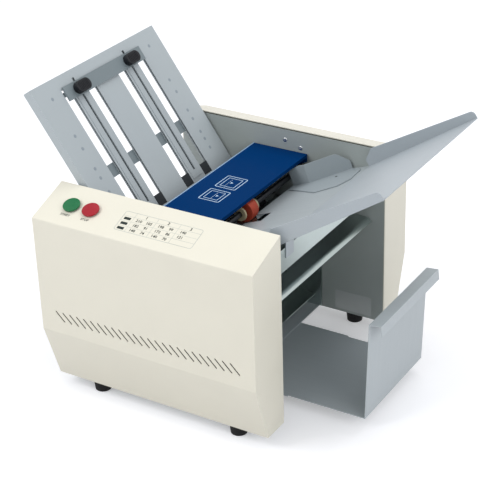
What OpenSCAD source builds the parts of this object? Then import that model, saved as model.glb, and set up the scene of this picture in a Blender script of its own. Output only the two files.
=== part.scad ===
// Desktop paper folding machine: friction feed, two fold plates, four fold rollers.
// X runs along the paper feed, +X towards the feed table and the exit tray.
// Y runs across the machine: the near housing (-Y) has the control panel.
// Z is up, and z = 0 is the surface that the four rubber feet stand on.
// The pieces are drawn about the middle of the housings and shifted at the end.

/* [Housings] */
// Length of both side housings, along the paper feed
housing_len = 400; // [380:5:430]
// Clear width between the two side plates
gap_w = 347; // [340:1:360]
// Depth of a housing at its widest
housing_depth = 81; // [78:1:90]
// Depth of a housing at its bottom
bottom_depth = 49; // [44:1:56]
// Height of a housing at its inner edge, without the feet
inner_h = 330; // [322:1:345]
// Fall of the sloping top from its inner to its outer edge
top_drop = 29; // [22:1:36]
// Height of the lower bend in the outer face
bend_h = 101; // [85:1:110]
// Sheet thickness of the housing covers
cover_sheet = 1.5; // [1.2:0.1:2]
// Sheet thickness of the inner side plates
side_sheet = 2.5; // [2:0.5:3]

/* [Vents] */
// Number of slanted vent slots
vent_n = 25; // [10:1:26]
// Distance from one vent slot to the next
vent_pitch = 13.6; // [10:0.2:14]
// Length of a vent slot
vent_len = 24; // [14:1:28]
// Width of a vent slot
vent_w = 2; // [1.5:0.1:3]

/* [Feet] */
// Height of a rubber foot below the housing
foot_h = 25; // [20:1:32]
// Diameter of a foot at its top
foot_d = 32; // [26:1:36]
// Distance from the end of a housing to the foot's axis
foot_inset = 68; // [50:1:80]

/* [Control panel] */
// Diameter of a push button cap
button_d = 28.5; // [26:0.5:30]
// Travel of a push button
button_travel = 1.6; // [1:0.2:2.4]
// Distance from the start button to the stop button
button_pitch = 36.5; // [34:0.5:44]

/* [Fold rollers] */
// Diameter of a fold roller
roller_d = 35.6; // [34:0.2:35.6]
// Diameter of the roller shafts
shaft_d = 10; // [8:1:12]
// Number of teeth on a roller gear
gear_teeth = 24; // [24:1:24]
// Gear module
gear_module = 1.5; // [1.5:0.1:1.5]
// Width of a gear
gear_w = 8; // [6:1:9]
// Depth of the second fold roller's axis below the top of the housings
roller_drop = 117; // [114:1:121]

/* [Feed] */
// Diameter of the feed roller
feed_d = 36; // [34:1:40]
// Slope of the feed table
table_angle = 20.5; // [19:0.5:22]
// Length of the feed table along its slope
table_len = 134; // [128:1:138]
// Slope of the table's extension
ext_angle = 33.5; // [30:0.5:36]
// Length of the extension along its slope
ext_len = 225; // [200:5:240]
// Clearance between the extension and a side plate
ext_side_gap = 10; // [6:1:20]
// Distance of a paper guide from the side plate
guide_inset = 48.5; // [47:0.5:56]
// Height of a paper guide
guide_h = 34; // [24:1:38]

/* [Upper fold plate] */
// Slope of the upper fold plate
plate_angle = 55; // [53:0.5:57]
// Length of the upper fold plate
plate_len = 305; // [290:5:315]
// Clearance between the upper fold plate and a side plate
plate_side_gap = 3.5; // [2.5:0.5:8]
// Depth of its folded side flanges
plate_flange = 15.5; // [12:0.5:20]
// Width of one paper window
window_w = 21; // [16:1:24]
// Distance from the middle to the inner window
window_y = 41; // [38:1:44]
// Distance from the middle to the outer window
window_y_out = 97.5; // [95:0.5:102]
// Distance from the plate's top edge to the windows
window_top = 24; // [22:1:30]
// Distance from the windows to the plate's lower edge
window_low = 39; // [36:1:50]

/* [Exit tray] */
// Width of the exit tray
tray_w = 206; // [180:1:220]
// Distance of the tray's wall in front of the housings
tray_reach = 106; // [100:1:130]
// Height of the tray's wall
tray_wall_h = 172; // [140:1:190]
// Width of the folded lip on the wall
tray_lip = 18; // [12:1:24]

/* [Sheets] */
// Thickness of the paper path's sheet metal
sheet = 1.5; // [1:0.1:1.6]
// Gap for the paper between the two sheets of a fold plate
paper_gap = 2.5; // [2:0.1:3]

/* [Hidden] */
$fn = 64;

eps = 0.01;
half_len = housing_len / 2;
half_gap = gap_w / 2;
bottom_z = foot_h;
top_z = bottom_z + inner_h;
running_fit = 0.05;
part_gap = 0.4;

// Colours
cream = [0.93, 0.91, 0.86];
grey_paint = [0.66, 0.69, 0.72];
dark_grey = [0.34, 0.36, 0.39];
zinc = [0.74, 0.78, 0.77];
steel = [0.72, 0.73, 0.75];
black = [0.07, 0.07, 0.08];
brass_tone = [0.78, 0.66, 0.38];

// ---------- placing helpers ----------

// An outline drawn as (y, z), extruded along X from x0 to x1
module along_x(x0, x1) {
  translate([x0, 0, 0])
    rotate([90, 0, 90])
      linear_extrude(height = x1 - x0)
        children();
}

// An outline drawn as (x, z), extruded along Y from y0 to y1
module along_y(y0, y1) {
  translate([0, y1, 0])
    rotate([90, 0, 0])
      linear_extrude(height = y1 - y0)
        children();
}

// A round bar along Y
module bar_y(d, y0, y1, x = 0, z = 0) {
  translate([x, y1, z])
    rotate([90, 0, 0])
      cylinder(d = d, h = y1 - y0);
}

// The points of a corner at b between a and c, rounded with radius r
function rounded(a, b, c, r) =
  let (
    u = (a - b) / norm(a - b),
    v = (c - b) / norm(c - b),
    half = acos(u * v) / 2,
    m = (u + v) / norm(u + v),
    centre = b + m * r / sin(half),
    p = b + u * r / tan(half) - centre,
    q = b + v * r / tan(half) - centre,
    from = atan2(p[1], p[0]),
    sweep = (atan2(q[1], q[0]) - from + 540) % 360 - 180
  ) [for (i = [0 : 6]) centre + r * [cos(from + sweep * i / 6), sin(from + sweep * i / 6)]];

// A straight slot with round ends, centred, along its own X
module slot_shape(l, w) {
  square([l - w, w], center = true);
  for (i = [-1, 1])
    translate([i * (l - w) / 2, 0])
      circle(d = w);
}

// ---------- side housings ----------

// Outside bend radii of a cover: along its top and along the lower bend
top_bend_r = 3;
low_bend_r = 8;

// Outline of a housing in (y, z), drawn for the +Y side, shrunk inwards by t
function housing_outline(t) =
  let (
    y_in = half_gap,
    y_bot = half_gap + bottom_depth,
    y_out = half_gap + housing_depth,
    z_out = top_z - top_drop,
    z_bend = bottom_z + bend_h,
    slope = atan2(top_drop, housing_depth),
    lean = atan2(y_out - y_bot, bend_h),
    top_t = t / cos(slope),
    foot_edge = [y_bot - t / cos(lean), bottom_z],
    bend = [y_out - t, z_bend + t * (1 / cos(lean) - 1) / tan(lean)],
    shoulder = [y_out - t, z_out - top_t + t * tan(slope)],
    ridge = [y_in, top_z - top_t]
  ) concat(
    [[y_in, bottom_z], foot_edge],
    rounded(foot_edge, bend, shoulder, low_bend_r - t),
    rounded(bend, shoulder, ridge, top_bend_r - t),
    [ridge]
  );

module housing_shell() {
  difference() {
    along_x(-half_len, half_len)
      polygon(housing_outline(0));
    // The inner side and the bottom stay open for the side plate and its flange
    along_x(-half_len + cover_sheet, half_len - cover_sheet)
      translate([-eps, -eps])
        polygon(housing_outline(cover_sheet));
  }
}

vent_angle = 45;
vent_z = bottom_z + bend_h + 31.5;

module vent_slots() {
  outer_y = half_gap + housing_depth;
  for (i = [0 : vent_n - 1])
    translate([(i - (vent_n - 1) / 2) * vent_pitch + 1, outer_y + 1, vent_z])
      rotate([90, 0, 0])
        linear_extrude(height = 2 * cover_sheet + 1)
          rotate(-vent_angle)
            slot_shape(vent_len, vent_w);
}

// The sloping control panel: origin at its inner edge, X along the housing, Y down the slope
panel_slope = atan2(top_drop, housing_depth);
module on_panel() {
  translate([0, -half_gap, top_z])
    rotate([panel_slope, 0, 0])
      mirror([0, 1, 0])
        children();
}

start_x = -half_len + 51;
stop_x = start_x + button_pitch;
button_down = 45;
button_bore = 22.3;

module near_cover() {
  color(cream)
    difference() {
      mirror([0, 1, 0])
        housing_shell();
      mirror([0, 1, 0])
        vent_slots();
      on_panel()
        for (x = [start_x, stop_x])
          translate([x, button_down, -2 * cover_sheet - 1])
            cylinder(d = button_bore, h = 4 * cover_sheet + 2);
      mirror([0, 1, 0])
        cover_screw_places()
          cylinder(d = 4.4, h = 8, center = true);
    }
}

inlet_w = 28;
inlet_h = 21;
inlet_z = bottom_z + 46;
inlet_y = half_gap + 42;

module far_cover() {
  color(cream)
    difference() {
      housing_shell();
      vent_slots();
      translate([-half_len - 1, inlet_y - inlet_w / 2, inlet_z - inlet_h / 2])
        cube([cover_sheet + 2, inlet_w, inlet_h]);
      cover_screw_places()
        cylinder(d = 4.4, h = 8, center = true);
    }
}

// Two screws through the rear end wall of a cover; its front end hooks over the flange
cover_screw_zs = [bottom_z + 36, top_z - top_drop - 33];
module cover_screw_places() {
  for (z = cover_screw_zs)
    translate([-half_len, half_gap + 16, z])
      rotate([0, -90, 0])
        children();
}

// ---------- shaft places ----------

roller_pitch = gear_module * gear_teeth;
roller_2 = [-46, top_z - roller_drop];
roller_1 = roller_2 + roller_pitch * [sin(12), cos(12)];
roller_3 = roller_2 + roller_pitch * [0, -1];
roller_4 = roller_3 + roller_pitch * [cos(-20), sin(-20)];
idler_teeth = 30;
idler_pitch = gear_module * (gear_teeth + idler_teeth) / 2;
feed_dir = 10.7;
feed_axis = roller_1 + 2 * idler_pitch * [cos(feed_dir), sin(feed_dir)];
idler_axis = roller_1 + idler_pitch * [cos(feed_dir), sin(feed_dir)];
shaft_axes = [roller_1, roller_2, roller_3, roller_4, feed_axis];

bush_d = shaft_d + 6;
bush_flange = 2;
idler_pin_d = 8;

motor_behind = 72;
motor_below = 93;
motor_axis = roller_3 - [motor_behind, motor_below];
motor_d = 62;
motor_len = 74;
motor_shaft_d = 6;
motor_shaft_in = 28;

// ---------- frame ----------

// A side plate, drawn for the +Y side: an upright sheet with a flange for the feet
module side_plate_blank() {
  reach = half_len - cover_sheet;
  top = top_z - cover_sheet - 2.6;
  along_y(half_gap, half_gap + side_sheet)
    polygon([[-reach, bottom_z], [reach, bottom_z], [reach, top], [-reach, top]]);
  flange = bottom_depth - cover_sheet - 2;
  translate([-reach, half_gap, bottom_z])
    cube([2 * reach, flange, side_sheet]);
  // Turned-in end flanges that the cover screws go into
  for (end = [-1, 1])
    translate([end > 0 ? reach - side_sheet : -reach, half_gap, bottom_z + 8])
      cube([side_sheet, 26, inner_h - top_drop - 8]);
}

module side_plate_holes() {
  for (a = shaft_axes)
    bar_y(bush_d, half_gap - 1, half_gap + side_sheet + 1, a[0], a[1]);
  foot_places(1)
    translate([0, 0, -1])
      cylinder(d = 6.4, h = side_sheet + 2);
  cover_screw_places()
    cylinder(d = 4, h = 4 * side_sheet, center = true);
}

module foot_places(side) {
  for (end = [-1, 1])
    translate([end * (half_len - foot_inset), side * (half_gap + bottom_depth / 2), bottom_z])
      children();
}

module near_side_plate() {
  color(dark_grey)
    difference() {
      mirror([0, 1, 0])
        difference() {
          side_plate_blank();
          side_plate_holes();
        }
      bar_y(idler_pin_d, -half_gap - side_sheet - 1, -half_gap + 1, idler_axis[0], idler_axis[1]);
      bar_y(22, -half_gap - side_sheet - 1, -half_gap + 1, motor_axis[0], motor_axis[1]);
    }
}

module far_side_plate() {
  color(dark_grey)
    difference() {
      side_plate_blank();
      side_plate_holes();
    }
}

base_front = 75;
base_rear = -half_len + 10;
base_flange_h = 16;
runner_h = sheet + 2 * part_gap + 1.5;

module base_plate() {
  color(grey_paint) {
    translate([base_rear, -half_gap, bottom_z])
      cube([base_front - base_rear, gap_w, sheet]);
    for (side = [-1, 1])
      translate([base_rear + sheet + part_gap, side * half_gap - (side > 0 ? sheet : 0), bottom_z])
        cube([base_front - base_rear - sheet - part_gap, sheet, base_flange_h]);
    // Runners under the plate that hold the edges of the exit tray
    for (side = [0, 1])
      mirror([0, side, 0])
        along_x(base_rear + 8, base_front - 2)
          polygon([
            [tray_w / 2 + 6, bottom_z],
            [tray_w / 2 + 6, bottom_z - runner_h],
            [tray_w / 2 - 4, bottom_z - runner_h],
            [tray_w / 2 - 4, bottom_z - runner_h + 1.5],
            [tray_w / 2 + 4.5, bottom_z - runner_h + 1.5],
            [tray_w / 2 + 4.5, bottom_z]
          ]);
  }
}

rear_panel_h = inner_h / 2;
module rear_panel() {
  color(grey_paint)
    difference() {
      along_y(-half_gap, half_gap)
        polygon([
          [base_rear, bottom_z + sheet],
          [base_rear + sheet, bottom_z + sheet],
          [base_rear + sheet, bottom_z + rear_panel_h - sheet],
          [base_rear + 14, bottom_z + rear_panel_h - sheet],
          [base_rear + 14, bottom_z + rear_panel_h],
          [base_rear, bottom_z + rear_panel_h]
        ]);
      for (i = [-5 : 5])
        translate([base_rear - 1, i * 18, bottom_z + 90])
          rotate([0, 90, 0])
            linear_extrude(height = sheet + 2)
              slot_shape(40, 5);
    }
}

beam_x = half_len - 22;
beam_low = roller_2[1] + 28;
beam_high = roller_2[1] + 67;
beam_flange = 22;

module front_beam() {
  color(zinc)
    along_y(-half_gap, half_gap)
      polygon([
        [beam_x, beam_low],
        [beam_x, beam_high],
        [beam_x - beam_flange, beam_high],
        [beam_x - beam_flange, beam_high - sheet],
        [beam_x - sheet, beam_high - sheet],
        [beam_x - sheet, beam_low + sheet],
        [beam_x - 12, beam_low + sheet],
        [beam_x - 12, beam_low]
      ]);
}

tie_rod_d = 12;
tie_places = [[-half_len * 0.75, roller_2[1] - 33], [-half_len * 0.89, bottom_z + 30]];
module tie_rods() {
  color(steel)
    for (p = tie_places)
      bar_y(tie_rod_d, -half_gap, half_gap, p[0], p[1]);
}

module rubber_feet() {
  color(black)
    for (side = [-1, 1])
      foot_places(side)
        difference() {
          translate([0, 0, -foot_h])
            cylinder(d1 = foot_d - 5, d2 = foot_d, h = foot_h);
          translate([0, 0, -foot_h - 1])
            cylinder(d = 11, h = 9);
        }
}

// ---------- bushes ----------

module roller_bushes() {
  color(brass_tone)
    for (side = [0, 1])
      mirror([0, side, 0])
        for (a = shaft_axes)
          difference() {
            union() {
              bar_y(bush_d, half_gap, half_gap + side_sheet + 3, a[0], a[1]);
              bar_y(bush_d + 5, half_gap + side_sheet, half_gap + side_sheet + bush_flange, a[0], a[1]);
            }
            bar_y(shaft_d + 2 * running_fit, half_gap - 1, half_gap + side_sheet + 5, a[0], a[1]);
          }
}

// ---------- rollers ----------

roller_half = half_gap - 5;
far_end = half_gap + side_sheet + 5;
gear_y0 = -half_gap - side_sheet - 7 - gear_w;
belt_w = 10;
belt_y0 = gear_y0 - 3 - belt_w;

// A steel roller with rubber sleeves, its shaft running from y0 to the far plate
module fold_roller(axis, y0) {
  sleeve_n = 5;
  gap = 8;
  sleeve = (2 * roller_half - (sleeve_n - 1) * gap) / sleeve_n;
  color(steel) {
    bar_y(shaft_d, y0, far_end, axis[0], axis[1]);
    bar_y(roller_d - 5, -roller_half, roller_half, axis[0], axis[1]);
  }
  color(black)
    for (i = [0 : sleeve_n - 1]) {
      start = -roller_half + i * (sleeve + gap);
      bar_y(roller_d, start, start + sleeve, axis[0], axis[1]);
    }
}

module fold_roller_1() fold_roller(roller_1, gear_y0);
module fold_roller_2() fold_roller(roller_2, gear_y0);
module fold_roller_3() fold_roller(roller_3, belt_y0);
module fold_roller_4() fold_roller(roller_4, gear_y0);

tyre_w = 20;
tyre_y = -10;
module feed_shaft() {
  color(dark_grey)
    bar_y(shaft_d, gear_y0, far_end, feed_axis[0], feed_axis[1]);
}

module feed_tyre() {
  color([0.78, 0.25, 0.16])
    difference() {
      bar_y(feed_d, tyre_y - tyre_w / 2, tyre_y + tyre_w / 2, feed_axis[0], feed_axis[1]);
      bar_y(shaft_d, tyre_y - tyre_w, tyre_y + tyre_w, feed_axis[0], feed_axis[1]);
    }
}

collar_w = 4;
collar_d = 24;
module feed_collars() {
  color([0.85, 0.8, 0.68])
    for (y = [tyre_y - tyre_w / 2 - 7 - collar_w, tyre_y + tyre_w / 2 + 7])
      difference() {
        bar_y(collar_d, y, y + collar_w, feed_axis[0], feed_axis[1]);
        bar_y(shaft_d, y - 1, y + collar_w + 1, feed_axis[0], feed_axis[1]);
      }
}

// ---------- gears ----------

pressure_angle = 20;
backlash = 0.3;

function involute(r, a) = r * [cos(a) + a * PI / 180 * sin(a), sin(a) - a * PI / 180 * cos(a)];
function turned(p, a) = [p[0] * cos(a) - p[1] * sin(a), p[0] * sin(a) + p[1] * cos(a)];

// One flank of a tooth, from the base circle to the tip, as points
function flank(rb, rt, n) =
  let (end = sqrt(pow(rt / rb, 2) - 1) * 180 / PI)
  [for (i = [0 : n]) involute(rb, end * i / n)];

// A spur gear's outline with one tooth centred on its X axis
module gear_shape(teeth) {
  rp = gear_module * teeth / 2;
  rb = rp * cos(pressure_angle);
  rt = rp + 0.9 * gear_module;
  rf = rp - 1.2 * gear_module;
  roll = tan(pressure_angle) * 180 / PI - pressure_angle;
  half = 90 / teeth + roll - backlash / 2 / rp * 180 / PI;
  side = flank(rb, rt, 4);
  tooth = concat(
    [[rf - 0.5, -rb * sin(half)]],
    [for (p = side) turned(p, -half)],
    [for (i = [len(side) - 1 : -1 : 0]) turned([side[i][0], -side[i][1]], half)],
    [[rf - 0.5, rb * sin(half)]]
  );
  circle(r = rf);
  for (i = [0 : teeth - 1])
    rotate(i * 360 / teeth)
      polygon(tooth);
}

// Turn of gear b that meshes with gear a, whose turn is ta, when b lies at angle dir from a
function mesh_turn(ta, za, zb, dir) =
  dir + 180 - (0.5 - (dir - ta) * za / 360) * 360 / zb;

function dir_of(a, b) = atan2(b[1] - a[1], b[0] - a[0]);

turn_1 = 0;
turn_2 = mesh_turn(turn_1, gear_teeth, gear_teeth, dir_of(roller_1, roller_2));
turn_3 = mesh_turn(turn_2, gear_teeth, gear_teeth, dir_of(roller_2, roller_3));
turn_4 = mesh_turn(turn_3, gear_teeth, gear_teeth, dir_of(roller_3, roller_4));
turn_idler = mesh_turn(turn_1, gear_teeth, idler_teeth, dir_of(roller_1, idler_axis));
turn_feed = mesh_turn(turn_idler, idler_teeth, gear_teeth, dir_of(idler_axis, feed_axis));

module gear(axis, teeth, turn, bore) {
  translate([axis[0], gear_y0 + gear_w, axis[1]])
    rotate([90, 0, 0])
      linear_extrude(height = gear_w)
        difference() {
          rotate(turn)
            gear_shape(teeth);
          circle(d = bore);
        }
}

module roller_gears_1() color(steel) gear(roller_1, gear_teeth, turn_1, shaft_d);
module roller_gears_2() color(steel) gear(roller_2, gear_teeth, turn_2, shaft_d);
module roller_gears_3() color(steel) gear(roller_3, gear_teeth, turn_3, shaft_d);
module roller_gears_4() color(steel) gear(roller_4, gear_teeth, turn_4, shaft_d);
module feed_gear() color(steel) gear(feed_axis, gear_teeth, turn_feed, shaft_d);
module idler_gear() color(brass_tone) gear(idler_axis, idler_teeth, turn_idler, idler_pin_d + 2 * running_fit);

module idler_pin() {
  color(steel) {
    bar_y(idler_pin_d, gear_y0 - 2, -half_gap, idler_axis[0], idler_axis[1]);
    bar_y(idler_pin_d + 5, gear_y0 - 2, gear_y0 - 0.4, idler_axis[0], idler_axis[1]);
    bar_y(idler_pin_d + 5, gear_y0 + gear_w + 0.4, -half_gap - side_sheet, idler_axis[0], idler_axis[1]);
  }
}

// ---------- drive ----------

motor_pulley_d = 18;
drive_pulley_d = 54;
belt_t = 1.6;

motor_boss_d = 22;

module motor() {
  color(dark_grey)
    difference() {
      union() {
        bar_y(motor_d, -half_gap, -half_gap + motor_len, motor_axis[0], motor_axis[1]);
        bar_y(motor_boss_d, -half_gap - side_sheet - 2, -half_gap + eps, motor_axis[0], motor_axis[1]);
      }
      for (i = [0 : 11])
        translate([motor_axis[0], 0, motor_axis[1]])
          rotate([0, i * 30, 0])
            translate([motor_d / 2, -half_gap + motor_len / 2, 0])
              cube([3, motor_len * 0.6, 3], center = true);
      bar_y(motor_shaft_d + 2 * running_fit, -half_gap - motor_boss_d, -half_gap + motor_shaft_in + 2, motor_axis[0], motor_axis[1]);
    }
}

module motor_shaft() {
  color(steel)
    bar_y(motor_shaft_d, belt_y0 - 3, -half_gap + motor_shaft_in, motor_axis[0], motor_axis[1]);
}

// A flanged pulley at an axis, for the belt
module pulley(axis, d, bore) {
  difference() {
    union() {
      bar_y(d, belt_y0, belt_y0 + belt_w, axis[0], axis[1]);
      for (y = [belt_y0 - 1.4, belt_y0 + belt_w])
        bar_y(d + 6, y, y + 1.4, axis[0], axis[1]);
    }
    bar_y(bore, belt_y0 - 3, belt_y0 + belt_w + 3, axis[0], axis[1]);
  }
}

module motor_pulley() color(black) pulley(motor_axis, motor_pulley_d, motor_shaft_d);

module drive_pulley() {
  color(black)
    difference() {
      pulley(roller_3, drive_pulley_d, shaft_d);
      for (i = [0 : 4])
        translate([roller_3[0], belt_y0 + belt_w + 3, roller_3[1]])
          rotate([0, i * 72, 0])
            translate([15.5, 0, 0])
              rotate([90, 0, 0])
                cylinder(d = 10, h = belt_w + 6);
    }
}

belt_clear = 0.3;
belt_vec = roller_3 - motor_axis;
belt_dist = norm(belt_vec);
belt_tilt = asin((drive_pulley_d - motor_pulley_d) / 2 / belt_dist);
belt_run = sqrt(pow(belt_dist, 2) - pow((drive_pulley_d - motor_pulley_d) / 2, 2));

module ring(r, t) {
  difference() {
    circle(r = r + t);
    circle(r = r);
  }
}

// The belt: two arcs and two straight runs that overlap them a little
module belt_loop() {
  r1 = motor_pulley_d / 2 + belt_clear;
  r3 = drive_pulley_d / 2 + belt_clear;
  far = 80;
  top = 90 + belt_tilt;
  intersection() {
    ring(r1, belt_t);
    polygon([
      [0, 0],
      far * [cos(top), sin(top)],
      [-far, far],
      [-far, -far],
      far * [cos(top), -sin(top)]
    ]);
  }
  translate([belt_dist, 0])
    difference() {
      ring(r3, belt_t);
      polygon([
        [0, 0],
        far * [cos(top), sin(top)],
        [-far, far],
        [-far, -far],
        far * [cos(top), -sin(top)]
      ]);
    }
  for (side = [0, 1])
    mirror([0, side])
      rotate(belt_tilt)
        translate([-1, r1 + 0.05])
          square([belt_run + 2, belt_t]);
}

module drive_belt() {
  color([0.12, 0.12, 0.13])
    along_y(belt_y0 + 0.5, belt_y0 + belt_w - 0.5)
      translate(motor_axis)
        rotate(atan2(belt_vec[1], belt_vec[0]))
          belt_loop();
}

// ---------- controls ----------

ring_h = 1.6;
ring_d = button_bore + 1.3;
cap_wall = (button_d - ring_d) / 2 - part_gap;
cap_low = button_travel + part_gap;
cap_in = ring_h + cap_low;
cap_roof = 1.6;
stem_d = 14;
stem_len = 16;

// A cap that reaches over the fixed ring, and its stem
module button(colour) {
  color(colour) {
    difference() {
      translate([0, 0, cap_low])
        cylinder(d = button_d, h = ring_h + cap_roof);
      translate([0, 0, cap_low - 1])
        cylinder(d = button_d - 2 * cap_wall, h = ring_h + 1);
    }
    translate([0, 0, -stem_len])
      cylinder(d = stem_d, h = stem_len + cap_in + eps);
  }
}

module start_button() {
  on_panel()
    translate([start_x, button_down, 0])
      button([0.1, 0.5, 0.3]);
}

module stop_button() {
  on_panel()
    translate([stop_x, button_down, 0])
      button([0.78, 0.06, 0.16]);
}

module button_bodies() {
  color([0.16, 0.16, 0.17])
    on_panel()
      for (x = [start_x, stop_x])
        translate([x, button_down, 0])
          difference() {
            union() {
              cylinder(d = ring_d, h = ring_h);
              translate([0, 0, -26])
                cylinder(d = button_bore - 0.3, h = 26 + eps);
              translate([-13, -12, -44])
                cube([26, 24, 18 + eps]);
            }
            translate([0, 0, -stem_len - button_travel - 1])
              cylinder(d = stem_d + 2 * part_gap, h = 30);
          }
}

board_x = 74;
board_l = 108;
board_h = 90;
board_z = top_z - 2 * board_h;
module control_board() {
  board_y = -half_gap - side_sheet - 8;
  color([0.1, 0.36, 0.22])
    translate([board_x, board_y - 1.6, board_z])
      cube([board_l, 1.6, board_h]);
  color(steel)
    for (x = [6, board_l - 6])
      for (z = [6, board_h - 6])
        bar_y(6, board_y - eps, -half_gap - side_sheet, board_x + x, board_z + z);
  color([0.2, 0.2, 0.22]) {
    translate([board_x + 14, board_y - 34, board_z + 12])
      cube([38, 32.4 + eps, 34]);
    for (x = [64, 86])
      translate([board_x + x, board_y - 18, board_z + 12])
        cube([16, 16.4 + eps, 20]);
    translate([board_x + 14, board_y - 12, board_z + 62])
      cube([60, 10.4 + eps, 10]);
  }
}

module power_inlet() {
  color(black)
    difference() {
      union() {
        translate([-half_len - 2.5, inlet_y - 16, inlet_z - 13])
          cube([2.5, 32, 26]);
        translate([-half_len - eps, inlet_y - inlet_w / 2 + 0.2, inlet_z - inlet_h / 2 + 0.2])
          cube([22, inlet_w - 0.4, inlet_h - 0.4]);
      }
      translate([-half_len - 3, inlet_y - 11.5, inlet_z - 7.5])
        cube([16, 23, 15]);
    }
  color(steel)
    for (y = [-7, 0, 7])
      translate([-half_len - 0.5, inlet_y + y - 1, inlet_z - 2])
        cube([14, 2, 4]);
}

// ---------- upper fold plate ----------

// The plate's frame: X runs down the plate from its top edge, Z out of its front face
mouth = roller_2 + [-30.4, 8.8];
plate_top = mouth + plate_len * [-cos(plate_angle), sin(plate_angle)];
module on_upper_plate() {
  translate([plate_top[0], 0, plate_top[1]])
    rotate([0, plate_angle, 0])
      children();
}

window_len = plate_len - window_top - window_low;
plate_w = gap_w - 2 * plate_side_gap;
window_ys = [-window_y_out, -window_y, window_y, window_y_out];
slit_y = (window_y + window_y_out) / 2;
slit_w = 5;
mouth_cut = 25;

module plate_windows() {
  for (y = window_ys)
    translate([window_top, y - window_w / 2, 2 * back_w])
      cube([window_len, window_w, -4 * back_w]);
}

module upper_plate_front() {
  color(grey_paint)
    on_upper_plate() {
      difference() {
        translate([0, -plate_w / 2, -sheet])
          cube([plate_len, plate_w, sheet]);
        plate_windows();
        for (side = [-1, 1])
          translate([window_top - 10, side * slit_y - slit_w / 2, -5])
            cube([window_len + 2, slit_w, 10]);
        // The middle ends short, so that the paper can turn up into the gap
        translate([plate_len - mouth_cut, -plate_w / 2 + 20, -5])
          cube([mouth_cut + 1, plate_w - 40, 10]);
      }
      for (side = [-1, 1])
        translate([0, side * (plate_w / 2 - sheet / 2) - sheet / 2, -plate_flange])
          cube([plate_len - 45, sheet, plate_flange]);
      translate([0, -plate_w / 2, -plate_flange * 0.6])
        cube([sheet, plate_w, plate_flange * 0.6]);
    }
}

back_w = -sheet - paper_gap;
module upper_plate_back() {
  color(grey_paint)
    on_upper_plate()
      difference() {
        union() {
          translate([sheet, -plate_w / 2 + sheet, back_w - sheet])
            cube([plate_len - sheet, plate_w - 2 * sheet, sheet]);
          for (side = [-1, 1])
            translate([sheet, side * (plate_w / 2 - 9) - 7, back_w])
              cube([plate_len - 30, 14, paper_gap]);
        }
        plate_windows();
      }
}

module upper_plate_rails() {
  color(zinc)
    on_upper_plate()
      for (side = [-1, 1])
        translate([window_top + 2, side * slit_y, 0])
          difference() {
            translate([0, -14, 0])
              cube([window_len - 8, 28, 1]);
            translate([-1, -slit_w / 2, -1])
              cube([window_len - 20, slit_w, 3]);
          }
}

// Distances up from the plate's lower edge
cross_bar_rise = 142;
low_stud_rise = 60;
high_stud_rise = 105;
cross_bar_s = plate_len - cross_bar_rise;
module upper_plate_cross_bar() {
  color(dark_grey)
    on_upper_plate()
      difference() {
        translate([cross_bar_s, -plate_w / 2 + sheet, back_w - sheet - 10])
          cube([22, plate_w - 2 * sheet, 10]);
        translate([cross_bar_s + 1.5, -plate_w / 2, back_w - sheet - 12])
          cube([19, plate_w, 10.5]);
      }
}

pad_len = 20;
module upper_plate_stop_pads() {
  color(black)
    on_upper_plate()
      for (y = window_ys)
        translate([window_top + window_len - pad_len, y - window_w / 2 + 0.2, back_w - sheet])
          cube([pad_len, window_w - 0.4, -back_w + sheet]);
}

stop_bar_s = 20;
stop_bar_w = 25;
stop_bar_reach = window_y_out + window_w / 2 - 2;
knob_s = stop_bar_s + 13;
bar_lift = 1 + part_gap;

module upper_stop_bar() {
  on_upper_plate() {
    color([0.5, 0.53, 0.56])
      difference() {
        translate([stop_bar_s, -stop_bar_reach, bar_lift])
          cube([stop_bar_w, 2 * stop_bar_reach, 3]);
        for (side = [-1, 1])
          translate([knob_s, side * slit_y, -1])
            cylinder(d = 6, h = 10);
      }
    // Fingers that reach through the windows into the paper gap
    color([0.5, 0.53, 0.56])
      for (y = window_ys)
        translate([stop_bar_s + 8, y - window_w / 2 + 3, back_w - sheet + 0.2])
          cube([8, window_w - 6, -back_w + sheet + bar_lift - 0.2 + eps]);
  }
}

knob_l = 34;
knob_w = 20;
knob_h = 10;

// A knob whose screw holds a nut under the front sheet
module stop_knob(side) {
  on_upper_plate()
    translate([knob_s, side * slit_y, 0]) {
      color(black)
        translate([0, 0, bar_lift + 3 + part_gap])
          rotate(90)
            linear_extrude(height = knob_h)
              slot_shape(knob_l, knob_w);
      color(steel) {
        translate([0, 0, -sheet - part_gap - 1.4])
          cylinder(d = 4.2, h = sheet + 2 * part_gap + bar_lift + 5);
        translate([0, 0, -sheet - part_gap - 1.4])
          cylinder(d = 9, h = 1.4);
      }
    }
}

module upper_stop_knob_near() stop_knob(-1);
module upper_stop_knob_far() stop_knob(1);

stud_places = [plate_len - high_stud_rise, plate_len - low_stud_rise];
module plate_studs() {
  color(steel)
    on_upper_plate()
      for (side = [-1, 1])
        for (s = stud_places)
          translate([s, side * (plate_w / 2), -plate_flange + 5])
            rotate([-side * 90, 0, 0])
              cylinder(d = 8, h = half_gap - plate_w / 2);
}

// ---------- lower fold plate ----------

lower_z = roller_2[1] - 13.5;
lower_back = roller_2[0] + 36;
lower_front = beam_x;
lower_w = gap_w - 7;
lower_l = lower_front - lower_back;
lower_stop_rest = 62;
lower_slot_y = 60;
lip_r = 12;

module lower_windows(z, h) {
  for (side = [-1, 1])
    translate([(lower_back + beam_x) / 2 - 8, side * lower_slot_y, z])
      linear_extrude(height = h)
        slot_shape(lower_l - 50, 8);
}

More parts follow.
